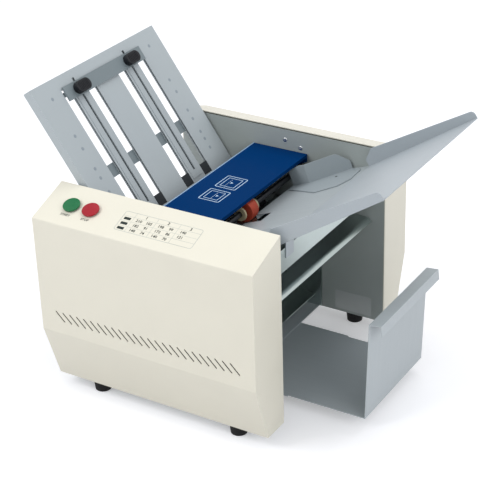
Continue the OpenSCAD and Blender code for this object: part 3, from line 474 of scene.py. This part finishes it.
washer_thickness = 0.0008
nut_tree, given = node_tree("hexagon_nuts", {"Nut Width": 0.01, "Nut Height": 0.0032})
nut_radius = add(nut_tree, "ShaderNodeMath", times, _0=given["Nut Width"], _1=0.5)
nut = add(
    nut_tree,
    "GeometryNodeMeshCylinder",
    Vertices=6,
    Radius=nut_radius.outputs[0],
    Depth=given["Nut Height"],
)
nut_rise = add(
    nut_tree,
    "ShaderNodeMath",
    {"operation": "MULTIPLY_ADD"},
    _0=given["Nut Height"],
    _1=0.5,
    _2=washer_thickness,
)
nut_place = add(nut_tree, "ShaderNodeCombineXYZ", Z=nut_rise.outputs[0])
high_nut = add(
    nut_tree, "GeometryNodeTransform", Geometry=nut.outputs[0], Translation=nut_place.outputs[0]
)
washer = add(
    nut_tree, "GeometryNodeMeshCylinder", Vertices=24, Radius=0.0052, Depth=washer_thickness
)
flat_washer = add(
    nut_tree,
    "GeometryNodeTransform",
    Geometry=washer.outputs[0],
    Translation=(0, 0, washer_thickness / 2),
)
nut_on_washer = add(
    nut_tree, "GeometryNodeJoinGeometry", Geometry=(high_nut.outputs[0], flat_washer.outputs[0])
)
planted(nut_tree, given, nut_on_washer.outputs[0], bright_steel)

# Where each one stands, which way it faces, and the angle at which its recess came to rest
covers_rear, flange_middle, foot_middle, foot_recess, plate_outside = -200, 189.5, 198, 8, 176
hinge_screws, cover_screws, foot_screws, rod_nuts = [], [], [], []
for side in (-1, 1):
    for x, z, angle in ((9, 332, 20), (39, 322.5, 65)):
        along = (math.cos(math.radians(angle)), 0, math.sin(math.radians(angle)))
        hinge_screws.append((place(x, side * side_face, z), facing((0, -side, 0), along)))
    for z, angle in ((61, 35), (293, 80)):
        along = (0, math.cos(math.radians(angle)), math.sin(math.radians(angle)))
        stand = place(covers_rear, side * flange_middle, z)
        cover_screws.append((stand, facing((-1, 0, 0), along)))
    for x in (-132, 132):
        stand = place(x, side * foot_middle, foot_recess)
        foot_screws.append((stand, facing((0, 0, -1), (1, 0.4 * side, 0))))
    for x, z in ((-150, 205), (-178, 55)):
        rod_nuts.append((place(x, side * plate_outside, z), facing((0, side, 0), (1, 0, 0))))
shape = bmesh.new()
for tree, points, sizes in (
    (head_tree, hinge_screws, {"Head Diameter": 8, "Head Height": 1.1, "Shank Length": 2}),
    (head_tree, cover_screws, {"Head Diameter": 8, "Head Height": 2, "Shank Length": 10}),
    (head_tree, foot_screws, {"Head Diameter": 9.5, "Head Height": 3, "Shank Length": 12}),
    (nut_tree, rod_nuts, {"Nut Width": 10, "Nut Height": 3.2}),
):
    grow(shape, tree, points, sizes)
screws = made("case_screw_heads", shape, bright_steel, "frame", "steel")
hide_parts("case_screws")

# ---------------------------------------------------------------- shafts, gears and bushes
# Turned steel shafts and hobbed steel gears run in sintered bronze bushes in the side plates.
# Oiled and bright, with fine turning marks; the idler gear is bronze, to run quietly.
wear(bright_steel, "tie_rods", "case_screws", "plate_studs", "cover_hinge_pins")
wear(bright_steel, "roller_gears_1", "roller_gears_2", "roller_gears_3", "roller_gears_4")
wear(bright_steel, "feed_gear", "idler_pin", "motor_shaft")
# Sintered bronze is brown and half matt, with pores drawn 0.6 mm wide to show
bronze = plated_sheet("sintered_bronze", "b08a4e", 0.45, (0.6, 0.6, 0.6), 1.0)
wear(bronze, "roller_bushes", "idler_gear")

# ---------------------------------------------------------------- fold rollers
# Four ground steel rollers with bonded rubber sleeves, geared together at the near end.
# The sleeves stand proud of the steel core, so the finish changes with the distance from the axis.


def roller_finish(name, axis):
    """Ground steel up to 15.6 mm from a roller's axis, which runs along y, and rubber beyond."""
    core_radius = 0.0156
    material, tree = blank_material(name)
    where = add(tree, "ShaderNodeTexCoord").outputs["Object"]
    centred = add(
        tree,
        "ShaderNodeMapping",
        Vector=where,
        Location=(-axis.x, 0, -axis.z),
        Scale=(1, 0, 1),
    )
    radius = add(tree, "ShaderNodeVectorMath", {"operation": "LENGTH"}, _0=centred.outputs[0])
    sleeve = add(
        tree,
        "ShaderNodeMath",
        {"operation": "GREATER_THAN"},
        _0=radius.outputs["Value"],
        _1=core_radius,
    )
    # Grinding marks run round the roller: about 1 mm wide along y, 50 mm long round it
    fine = add(tree, "ShaderNodeMapping", Vector=where, Scale=(20, 900, 20))
    marks = add(tree, "ShaderNodeTexNoise", Vector=fine.outputs[0], Scale=1.0, Detail=2.0)
    bump = add(
        tree, "ShaderNodeBump", Height=marks.outputs["Fac"], Strength=0.3, Distance=0.00002
    )
    steel = add(
        tree,
        "ShaderNodeBsdfPrincipled",
        Base_Color=linear("a9abad"),
        Metallic=1.0,
        Roughness=0.3,
        Normal=bump.outputs[0],
    )
    rubber = add(
        tree,
        "ShaderNodeBsdfPrincipled",
        Base_Color=linear("26262a"),
        Roughness=0.62,
        Normal=bump.outputs[0],
    )
    skin = add(
        tree,
        "ShaderNodeMixShader",
        _0=sleeve.outputs[0],
        _1=steel.outputs[0],
        _2=rubber.outputs[0],
    )
    add(tree, "ShaderNodeOutputMaterial", Surface=skin.outputs[0])
    return material


for number in (1, 2, 3, 4):
    low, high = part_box(f"fold_roller_{number}")
    finish = roller_finish(f"roller_{number}_steel_and_rubber", (low + high) / 2)
    wear(finish, f"fold_roller_{number}")

# ---------------------------------------------------------------- motor, pulleys and belt
# A gear motor in the near housing turns the third roller through a moulded pulley pair and a belt.
# The motor's steel case is blackened; the pulleys are glass-filled nylon and the belt is rubber.

# Blackened steel is nearly black and still mirrors softly
dark_steel = plated_sheet("blackened_steel", "3c3d40", 0.35, (0.8, 0.8, 0.8), 0.9)
wear(dark_steel, "motor")


def moulding(name, colour, roughness, grain, depth, gloss=0.5, coat=0.0):
    """Moulded plastic or rubber: grain is the texture's size and depth its height, in mm."""
    material, tree = blank_material(name)
    where = add(tree, "ShaderNodeTexCoord").outputs["Object"]
    speck = add(tree, "ShaderNodeTexNoise", Vector=where, Scale=1000 / grain, Detail=3.0)
    # Flow marks of the moulding, 20 mm across
    cloud = add(tree, "ShaderNodeTexNoise", Vector=where, Scale=1000 / 20, Detail=2.0)
    tone = add(
        tree,
        "ShaderNodeMix",
        {"data_type": "RGBA"},
        _0=cloud.outputs["Fac"],
        _6=shaded(colour, -0.15),
        _7=shaded(colour, 0.15),
    )
    texture = speck.outputs["Fac"]
    surface(
        tree,
        tone.outputs[2],
        texture,
        roughness,
        texture,
        give=0.05,
        strength=0.5,
        height=depth / 1000,
        Specular_IOR_Level=gloss,
        Coat_Weight=coat,
    )
    return material


# Black nylon: half matt with a 0.8 mm spark-eroded texture
black_nylon = moulding("moulded_black_nylon", "0b0e14", 0.48, 0.8, 0.02, 0.3)
wear(black_nylon, "motor_pulley", "drive_pulley")
# Moulded chloroprene: matt black
belt_rubber = moulding("drive_belt_rubber", "151515", 0.7, 1.0, 0.03, 0.3)
wear(belt_rubber, "drive_belt")

# ---------------------------------------------------------------- control board
# A circuit board on four posts inside the near housing, with its capacitors and connectors.
# Glass-fibre board under green solder mask, which is smooth and shines like thin varnish.
green_board = moulding("green_solder_mask", "14663c", 0.35, 1.0, 0.01, 0.5, 0.2)
wear(green_board, "control_board")

# ---------------------------------------------------------------- lower fold plate
# Two plated sheets under the feed table, with a painted stop bar and a moulded clamping knob.
# The sheets are as rolled; the bar is satin grey.
wear(beam_zinc, "lower_plate_top", "lower_plate_bottom")
soften(0.5, "lower_plate_top")


def coated_sheet(name, colour, roughness, grain, depth, mottle=0.03, gloss=0.45, rub=0.0):
    """Painted sheet: grain is the orange peel's size and depth its height, in millimetres.

    rub is how much the tone changes in the streaks that sliding paper has polished along x."""
    material, tree = blank_material(name)
    where = add(tree, "ShaderNodeTexCoord").outputs["Object"]
    # Slow change of tone, 70 mm across
    cloud = add(tree, "ShaderNodeTexNoise", Vector=where, Scale=1000 / 70, Detail=3.0)
    tone = add(
        tree,
        "ShaderNodeMix",
        {"data_type": "RGBA"},
        _0=cloud.outputs["Fac"],
        _6=shaded(colour, -mottle),
        _7=shaded(colour, mottle),
    )
    if rub:
        # Streaks 400 mm long along x and 6 mm wide, nearly white where they are strongest
        drawn = add(
            tree, "ShaderNodeMapping", Vector=where, Scale=(1000 / 400, 1000 / 6, 1000 / 60)
        )
        streak = add(tree, "ShaderNodeTexNoise", Vector=drawn.outputs[0], Scale=1.0, Detail=3.0)
        strength = add(
            tree, "ShaderNodeMapRange", Value=streak.outputs["Fac"], To_Min=0.0, To_Max=rub
        )
        tone = add(
            tree,
            "ShaderNodeMix",
            {"data_type": "RGBA"},
            _0=strength.outputs[0],
            _6=tone.outputs[2],
            _7=linear("f2f4f4"),
        )
    peel = add(tree, "ShaderNodeTexNoise", Vector=where, Scale=1000 / grain, Detail=2.0)
    surface(
        tree,
        tone.outputs[2],
        cloud.outputs["Fac"],
        roughness,
        peel.outputs["Fac"],
        give=0.04,
        strength=0.6,
        height=depth / 1000,
        Specular_IOR_Level=gloss,
    )
    return material


# Satin grey paint: a thin wet coat with a 1 mm orange peel
satin_grey = coated_sheet("satin_grey_paint", "778286", 0.42, 1.0, 0.008)
wear(satin_grey, "lower_stop_bar")
wear(black_nylon, "lower_stop_knob")
soften(0.5, "lower_stop_bar")

# ---------------------------------------------------------------- upper fold plate
# Two folded steel sheets with four windows; rails and a cross bar are spot welded to the front one.
# Powder coated in light grey; the weld spots show as soft round marks through the coat.

# Powder coat: soft gloss over a 1.2 mm orange peel
grey_coat = coated_sheet("light_grey_powder_coat", "adb5b8", 0.40, 1.2, 0.012)
wear(grey_coat, "upper_plate_front", "upper_plate_back")
wear(satin_grey, "upper_plate_cross_bar")
# The rails' wet paint is a shade darker and smoother than the powder coat
rail_coat = coated_sheet("grey_rail_paint", "a9b1b4", 0.36, 1.0, 0.008)
wear(rail_coat, "upper_plate_rails")
soften(0.6, "upper_plate_front")
# Nitrile pads in the stop's corners: matt, with a coarse 1.5 mm moulded texture
pad_nitrile = moulding("textured_black_nitrile", "23282c", 0.6, 1.5, 0.05, 0.35)
wear(pad_nitrile, "upper_plate_stop_pads")

# The front sheet's outer face, from its upper edge: x runs down the slope, z stands out of it
plate_slope = math.radians(55)
plate_face = seat(
    place(-251.34, 0, 496.64),
    (math.cos(plate_slope), 0, -math.sin(plate_slope)),
    (0, 1, 0),
)
plate_out = plate_face.to_3x3() @ Vector((0, 0, 1))
plate_down = plate_face.to_3x3() @ Vector((1, 0, 0))

weld_tree, given = node_tree("weld_spots", {"Spot Diameter": 0.0046, "Spot Height": 0.0002})
spot_radius = add(weld_tree, "ShaderNodeMath", times, _0=given["Spot Diameter"], _1=0.5)
lens = add(weld_tree, "GeometryNodeMeshUVSphere", Segments=20, Rings=8, Radius=1.0)
spot_size = add(
    weld_tree,
    "ShaderNodeCombineXYZ",
    X=spot_radius.outputs[0],
    Y=spot_radius.outputs[0],
    Z=given["Spot Height"],
)
weld_spot = add(
    weld_tree, "GeometryNodeTransform", Geometry=lens.outputs[0], Scale=spot_size.outputs[0]
)
# The coat is thin and rough over a weld's burnt skin, so it looks darker there
weld_coat = coated_sheet("coat_over_weld_spots", "8e989f", 0.5, 0.9, 0.02)
planted(weld_tree, given, weld_spot.outputs[0], weld_coat)
weld_row = 135  # from the machine's middle to each row of spots
spots = []
for side in (-1, 1):
    for down in (28.8, 96.3, 119.5, 156.6, 173.6, 199.2, 213.5, 231.0):
        stand = plate_face @ Vector((down / 1000, side * weld_row / 1000, 0))
        spots.append((stand, facing(plate_out, plate_down)))
shape = bmesh.new()
grow(shape, weld_tree, spots, {"Spot Diameter": 6.2, "Spot Height": 0.2})
made("weld_spots", shape, weld_coat, "frame", "grey_paint")

# ---------------------------------------------------------------- upper stop and its knobs
# A painted steel bar slides up and down the plate; its fingers reach through the four windows.
# Two moulded nylon knobs clamp it on the slit rails: near black, with ribs to grip.
wear(satin_grey, "upper_stop_bar")
soften(0.5, "upper_stop_bar")
wear(black_nylon, "upper_stop_knob_near", "upper_stop_knob_far")
soften(1.6, "upper_stop_knob_near", "upper_stop_knob_far", steps=4)

rib_tree, given = node_tree("grip_ribs", {"Rib Radius": 0.0006, "Rib Length": 0.014})
rib = add(
    rib_tree,
    "GeometryNodeMeshCylinder",
    Vertices=12,
    Radius=given["Rib Radius"],
    Depth=given["Rib Length"],
)
lying = add(
    rib_tree,
    "GeometryNodeTransform",
    Geometry=rib.outputs[0],
    Rotation=(0, math.radians(90), 0),
)
planted(rib_tree, given, lying.outputs[0], black_nylon)
# The ribs lie side by side across each knob's top, in millimetres on the plate's face
knob_down, knob_across, knob_top = 33, 69.25, 14.8
rib_count, rib_step = 7, 3.6
for side, label in ((-1, "near"), (1, "far")):
    ribs = []
    for i in range(rib_count):
        across = side * knob_across + (i - rib_count // 2) * rib_step
        stand = plate_face @ Vector((knob_down / 1000, across / 1000, knob_top / 1000))
        ribs.append((stand, facing(plate_out, plate_down)))
    shape = bmesh.new()
    grow(shape, rib_tree, ribs, {"Rib Radius": 0.7, "Rib Length": 13.5})
    made(f"grip_ribs_{label}", shape, black_nylon, f"upper_stop_knob_{label}", "black_plastic")

# ---------------------------------------------------------------- feed table and paper guides
# Folded steel sheets: the sloping table, its extension, and two paper guides that slide on it.
# Powder coated in light grey, and polished in long streaks where the paper slides.
# The table's coat is painted darker than the extension's and the plate's: painted shade from the
# fold plate and the roller cover over it
shade_darkened_table_coat = coated_sheet("table_coat_darkened_as_painted_shade", "9da5a8", 0.38, 1.2, 0.012, rub=0.10)
wear(shade_darkened_table_coat, "feed_table")
# The extension's coat is paler than the table's, whose darker tone is painted shade, and it is less
# rubbed
extension_coat = coated_sheet("pale_grey_extension_coat", "a6aeb3", 0.38, 1.2, 0.012, rub=0.06)
wear(extension_coat, "feed_extension")
# The guides are coated as the table is, but paper never slides over them
guide_coat = coated_sheet("grey_guide_coat", "959ea2", 0.40, 1.2, 0.012)
wear(guide_coat, "near_paper_guide", "far_paper_guide")
soften(0.6, "feed_table", "feed_extension", "near_paper_guide", "far_paper_guide")
wear(black_nylon, "near_guide_knob", "far_guide_knob")

# ---------------------------------------------------------------- feed roller and separator
# A rubber-tyred roller pulls the top sheet in, and a sprung pad under it holds the others back.
# Ground orange-red rubber on a blackened shaft between two cream acetal collars.
wear(dark_steel, "feed_shaft")
# Ground rubber: matt, with fine torn grinding marks
tyre_rubber = moulding("ground_orange_rubber", "ab4029", 0.6, 0.7, 0.04, 0.4)
wear(tyre_rubber, "feed_tyre")
# Acetal: smooth, with a waxy gloss
collar_acetal = moulding("cream_acetal", "b5a786", 0.4, 0.8, 0.01)
wear(collar_acetal, "feed_collars")
soften(0.8, "feed_tyre", "feed_collars")
wear(satin_grey, "separator_arm")
# The pad is of the tyre's kind of rubber, browner and rougher
pad_rubber = moulding("brown_pad_rubber", "5a3426", 0.65, 0.7, 0.04, 0.4)
wear(pad_rubber, "separator_pad")

# ---------------------------------------------------------------- roller cover
# A hinged sheet-steel cover over the feed roller and the fold rollers, with a pale edging strip
# that is a painted highlight.
# Deep blue wet paint, satin, with fine orange peel; two paper signs are screen printed in white.
blue_paint = coated_sheet("deep_blue_satin_paint", "003164", 0.32, 1.4, 0.008, 0.05, 0.006)
wear(blue_paint, "roller_cover")
soften(0.6, "roller_cover")


def band(shape, at, points, width, low, high, closed=True):
    """Adds a line of even width along points, mitred at its corners, as a closed solid."""
    path = [Vector(point) for point in points]
    last = len(path) - 1
    left_row, right_row = [], []
    for i, point in enumerate(path):
        steps = []
        if i or closed:
            steps.append((point - path[i - 1]).normalized())
        if i < last or closed:
            steps.append((path[(i + 1) % len(path)] - point).normalized())
        ahead = sum(steps, Vector((0, 0))).normalized()
        across = Vector((-ahead.y, ahead.x))
        # A mitre is longer than half the width, but not three times as long at a sharp corner
        reach = width / 2 / max(0.35, across.dot(Vector((-steps[0].y, steps[0].x))))
        left_row.append(point + across * reach)
        right_row.append(point - across * reach)
    rings = []
    for row, z in ((left_row, low), (right_row, low), (right_row, high), (left_row, high)):
        stands = [at @ Vector((p.x / 1000, p.y / 1000, z / 1000)) for p in row]
        rings.append([shape.verts.new(stand) for stand in stands])
    for i in range(len(path) if closed else last):
        j = (i + 1) % len(path)
        for k in range(4):
            a, b = rings[k], rings[(k + 1) % 4]
            shape.faces.new((a[i], a[j], b[j], b[i]))
    if not closed:
        shape.faces.new([ring[0] for ring in rings])
        shape.faces.new([ring[last] for ring in reversed(rings)])


# Screen ink: thin and half matt, and a little blue where the paint shows through it
white_print = moulding("white_screen_print", "b9d2e6", 0.5, 0.5, 0.004, 0.3)
cover_top = 315.25
cover_face = seat(place(0, 0, cover_top), (1, 0, 0), (0, 1, 0))
ink_low, ink_high = -0.1, 0.06  # the ink starts under the paint, so that it has no gap below
sign_left, sign_right, margin = -20.3, 17.2, 6
dash_count, dash_length = 5, 3
shape = bmesh.new()
for sign_low, sign_high, fold in ((-56, -17, 0.5), (-6, 37, 0.33)):
    frame_line = rounded_box(sign_left, sign_low, sign_right, sign_high, 2.5)
    band(shape, cover_face, frame_line, 1.4, ink_low, ink_high)
    # A sheet seen flat, with the line it is folded on, and an arrow of the fold
    sheet_line = rounded_box(
        sign_left + margin, sign_low + margin, sign_right - margin, sign_high - margin, 0.6
    )
    band(shape, cover_face, sheet_line, 1.1, ink_low, ink_high)
    fold_x = sign_left + margin + (sign_right - sign_left - 2 * margin) * fold
    for i in range(dash_count):
        dash_y = sign_low + 8 + i * (sign_high - sign_low - 16) / dash_count
        dash = [(fold_x, dash_y), (fold_x, dash_y + dash_length)]
        band(shape, cover_face, dash, 0.8, ink_low, ink_high, False)
    tip_y = (sign_low + sign_high) / 2
    arrow = [(fold_x + 3, tip_y - 3), (fold_x + 8, tip_y), (fold_x + 3, tip_y + 3)]
    prism(shape, cover_face, arrow, ink_low, ink_high)
made("paper_signs", shape, white_print, "roller_cover", "blue_paint")

# The pale blue strip, a low half round of plastic along the cover's rear edge, is a painted
# highlight: it stands in for the light caught on the cover's rounded rear bend
highlight_edging = moulding("pale_blue_highlight_edging", "8fb0cf", 0.4, 0.8, 0.01)
edging_x, edging_end, edging_length = -51.9, 172, 344
edging_half, edging_height, edging_sunk = 0.9, 0.55, -0.3
profile = seat(place(edging_x, edging_end, cover_top), (1, 0, 0), (0, 0, 1))
half_round = []
for angle in range(0, 181, 20):
    x, z = math.cos(math.radians(angle)), math.sin(math.radians(angle))
    half_round.append((edging_half * x, edging_height * z))
base = [(-edging_half, edging_sunk), (edging_half, edging_sunk)]
shape = bmesh.new()
prism(shape, profile, half_round + base, 0, edging_length)
made("cover_highlight_edging", shape, highlight_edging, "roller_cover", "blue_paint")

# ---------------------------------------------------------------- base plate, rear panel and tray
# Folded steel sheets that close the machine below and behind, and the pull-out exit tray.
# Powder coated like the table; the tray's floor is rubbed by the folded sheets.
wear(grey_coat, "base_plate")
# The rear panel is plated and left bare, as the side plates are, with streaks across the machine
panel_zinc = plated_sheet("zinc_plated_rear_sheet", "8a979b", 0.42, (2, 60, 2), 0.8)
wear(panel_zinc, "rear_panel")
tray_coat = coated_sheet("light_grey_tray_coat", "b0b8bb", 0.40, 1.2, 0.012, rub=0.08)
wear(tray_coat, "exit_tray")
soften(0.6, "exit_tray")

# ---------------------------------------------------------------- housing covers
# Two folded sheet-steel covers, one over each side plate, with punched slanted vents.
# They are powder coated in warm white: soft gloss, with a fine orange-peel surface.
warm_white_coat = coated_sheet("warm_white_powder_coat", "e3dfcf", 0.42, 1.6, 0.02)
cover_side = 254.5  # from the machine's middle to the covers' outer faces
cover_sheet = 1.5
vent_count, vent_step, vent_shift, vent_height = 25, 13.6, 1, 157.5

# The vents' punched walls, between the two faces of the covers' sheet, are painted near black:
# painted shade, as in the depth of the vents
tree = warm_white_coat.node_tree
skin = next(node for node in tree.nodes if node.type == "BSDF_PRINCIPLED")
coat_tone = skin.inputs["Base Color"].links[0].from_socket
where = add(tree, "ShaderNodeTexCoord").outputs["Object"]
axes = add(tree, "ShaderNodeSeparateXYZ", Vector=where).outputs
from_middle = add(tree, "ShaderNodeMath", {"operation": "ABSOLUTE"}, _0=axes["Y"])
within = []
for value, middle, reach in (
    (from_middle.outputs[0], 0.253685, 0.000665),  # just inside the sheet's two faces
    (axes["Z"], vent_height / 1000, 0.0115),  # the height of the row of vents
    (axes["X"], middle_x, 0.185),  # the length of the row
):
    inside = add(tree, "ShaderNodeMath", {"operation": "COMPARE"}, _0=value, _1=middle, _2=reach)
    within.append(inside.outputs[0])
in_sheet = add(tree, "ShaderNodeMath", times, _0=within[0], _1=within[1])
punched = add(tree, "ShaderNodeMath", times, _0=in_sheet.outputs[0], _1=within[2])
coat_and_painted_wall_shade = add(
    tree,
    "ShaderNodeMix",
    {"data_type": "RGBA"},
    _0=punched.outputs[0],
    _6=coat_tone,
    # near-black painted shade on the vent walls
    _7=linear("34312b"),
)
tree.links.new(coat_and_painted_wall_shade.outputs[2], skin.inputs["Base Color"])
wear(warm_white_coat, "near_cover", "far_cover")
soften(0.7, "near_cover", "far_cover")

# The rolled rim that the punch leaves round each vent, under the coat
vent_tree, given = node_tree(
    "vent_rims", {"Slot Length": 0.0248, "Slot Width": 0.0028, "Rim Radius": 0.00035}
)
slot = add(
    vent_tree,
    "GeometryNodeCurvePrimitiveQuadrilateral",
    Width=given["Slot Length"],
    Height=given["Slot Width"],
)
rounding = add(vent_tree, "ShaderNodeMath", times, _0=given["Slot Width"], _1=0.499)
stadium = add(
    vent_tree,
    "GeometryNodeFilletCurve",
    {"mode": "POLY"},
    Curve=slot.outputs[0],
    Count=5,
    Radius=rounding.outputs[0],
)
wire = add(
    vent_tree, "GeometryNodeCurvePrimitiveCircle", Resolution=6, Radius=given["Rim Radius"]
)
rim = add(
    vent_tree,
    "GeometryNodeCurveToMesh",
    Curve=stadium.outputs[0],
    Profile_Curve=wire.outputs[0],
)
planted(vent_tree, given, rim.outputs[0], warm_white_coat)
vents = []
for side in (-1, 1):
    for i in range(vent_count):
        x = (i - vent_count // 2) * vent_step + vent_shift
        stand = place(x, side * cover_side, vent_height)
        vents.append((stand, facing((0, side, 0), (1, 0, -1))))
shape = bmesh.new()
grow(shape, vent_tree, vents, {"Slot Length": 25.6, "Slot Width": 3.6, "Rim Radius": 0.3})
bmesh.ops.recalc_face_normals(shape, faces=shape.faces)
made("vent_rims", shape, warm_white_coat, "frame", "cream_paint")

# A strip of black foam behind each row of vents is a dark sheet put there as painted shade, to
# darken the vents as the housing's shadowed inside does
vent_shade_foam = moulding("black_vent_shade_foam", "141618", 0.9, 1.5, 0.3, 0.1)
foam_thickness, glue = 3, 0.05
foam_back = cover_side - cover_sheet - glue - foam_thickness
shape = bmesh.new()
for side in (-1, 1):
    behind = seat(place(vent_shift, side * foam_back, 0), (-side, 0, 0), (0, 0, 1))
    prism(shape, behind, rounded_box(-178, 144, 178, 171, 3), 0, foam_thickness)
made("vent_shade_strips", shape, vent_shade_foam, "frame", "black_plastic")

# ---------------------------------------------------------------- printed size table
# A plain table of folding sizes with plain numbers, and the two buttons' words.
# Screen printed on the sloping panel in dark grey-green ink, with a pale grey frame.
panel_slope = math.atan2(29, 81)
panel = seat(
    place(0, -side_face, 355), (1, 0, 0), (0, math.cos(panel_slope), math.sin(panel_slope))
)
text_high = 0.08  # the words' and numbers' ink stands a little over the lines'


def letters(shape, text, size, x, y):
    """Adds printed text centred on a point of the panel, in millimetres, as closed solids."""
    curve = bpy.data.curves.new(text, "FONT")
    curve.body = text
    curve.size = size
    curve.align_x, curve.align_y = "CENTER", "CENTER"
    curve.resolution_u = 3
    curve.offset = size * 0.02
    curve.extrude = (text_high - ink_low) / 2
    carrier = bpy.data.objects.new(text, curve)
    bpy.context.scene.collection.objects.link(carrier)
    graph = bpy.context.evaluated_depsgraph_get()
    mesh = bpy.data.meshes.new_from_object(carrier.evaluated_get(graph))
    glyphs = bmesh.new()
    glyphs.from_mesh(mesh)
    bmesh.ops.remove_doubles(glyphs, verts=glyphs.verts, dist=0.0005)
    rise = (text_high + ink_low) / 2
    for vert in glyphs.verts:
        point = Vector((vert.co.x + x, vert.co.y + y, vert.co.z + rise))
        vert.co = panel @ (point / 1000)
    bmesh.ops.recalc_face_normals(glyphs, faces=glyphs.faces)
    glyphs.to_mesh(mesh)
    glyphs.free()
    shape.from_mesh(mesh)
    bpy.data.objects.remove(carrier)
    bpy.data.curves.remove(curve)
    bpy.data.meshes.remove(mesh)


# Both are screen inks: thin, half matt and even
dark_ink = moulding("dark_green_grey_ink", "1f2a26", 0.5, 0.5, 0.003, 0.3)
pale_ink = moulding("pale_grey_ink", "c3c5bb", 0.5, 0.5, 0.003, 0.3)
table_left, table_right, table_top, table_foot = -57.0, 83.0, -26.5, -66.5
header, label_width = 9.0, 20.0
group_left = table_left + label_width
group_width = (table_right - group_left) / 3
row_height = (table_top - table_foot - header) / 3
# The frame, the upright lines and the level lines lie at three heights, so none share a face
shape = bmesh.new()
outline = rounded_box(table_left, table_foot, table_right, table_top, 3.5)
band(shape, panel, outline, 1.1, ink_low, 0.07)
for i in range(3):
    x = group_left + i * group_width
    upright_line = [(x, table_foot + 0.5), (x, table_top - 0.5)]
    band(shape, panel, upright_line, 0.7, ink_low, 0.06, False)
    y = table_top - header - i * row_height
    level_line = [(table_left + 0.5, y), (table_right - 0.5, y)]
    band(shape, panel, level_line, 0.7, ink_low, 0.05, False)
made("size_table_lines", shape, pale_ink, "frame", "cream_paint")

# Each group of columns has its number above it, and each row a dark field before it
half_width, half_height = 6, 2.6
shape = bmesh.new()
for i in range(3):
    letters(shape, str(i + 1), 7.5, group_left + (i + 0.5) * group_width, table_top - header / 2)
for i, row in enumerate(
    (
        ("210", "105", "198", "99", "140"),
        ("182", "91", "172", "86", "121"),
        ("148", "74", "140", "70"),
    )
):
    x, y = table_left + label_width / 2, table_top - header - (i + 0.5) * row_height
    field = rounded_box(x - half_width, y - half_height, x + half_width, y + half_height, 0.8)
    prism(shape, panel, field, ink_low, text_high)
    for j, number in enumerate(row):
        x = group_left + (j // 2 + (0.28, 0.74)[j % 2]) * group_width
        letters(shape, number, 7.2, x, y)
letters(shape, "START", 6.0, -150, -64.4)
letters(shape, "STOP", 6.0, -113, -64.3)
made("size_table_numbers", shape, dark_ink, "frame", "cream_paint")

# ---------------------------------------------------------------- push buttons
# Two sprung 22 mm push buttons on the sloping panel: green starts the machine, red stops it.
# Their caps are glossy moulded plastic in black nylon bezels.
wear(black_nylon, "button_bodies")
soften(0.6, "button_bodies")
# Moulded in a polished tool: a clear gloss and hardly any texture
green_cap = moulding("glossy_green_cap", "08693b", 0.25, 0.6, 0.004, 0.3, 0.15)
red_cap = moulding("glossy_red_cap", "a00a20", 0.25, 0.6, 0.004, 0.3, 0.15)
wear(green_cap, "start_button")
wear(red_cap, "stop_button")
soften(1.0, "start_button", "stop_button", steps=4)

# ---------------------------------------------------------------- feet and mains inlet
# Four moulded rubber feet screwed under the side plates' flanges, and a panel-mounted inlet.
# Matt black rubber with a 1 mm texture; the inlet is black nylon.
foot_rubber = moulding("moulded_foot_rubber", "151515", 0.7, 1.0, 0.03, 0.3)
wear(foot_rubber, "rubber_feet")
soften(1.0, "rubber_feet")
wear(black_nylon, "power_inlet")
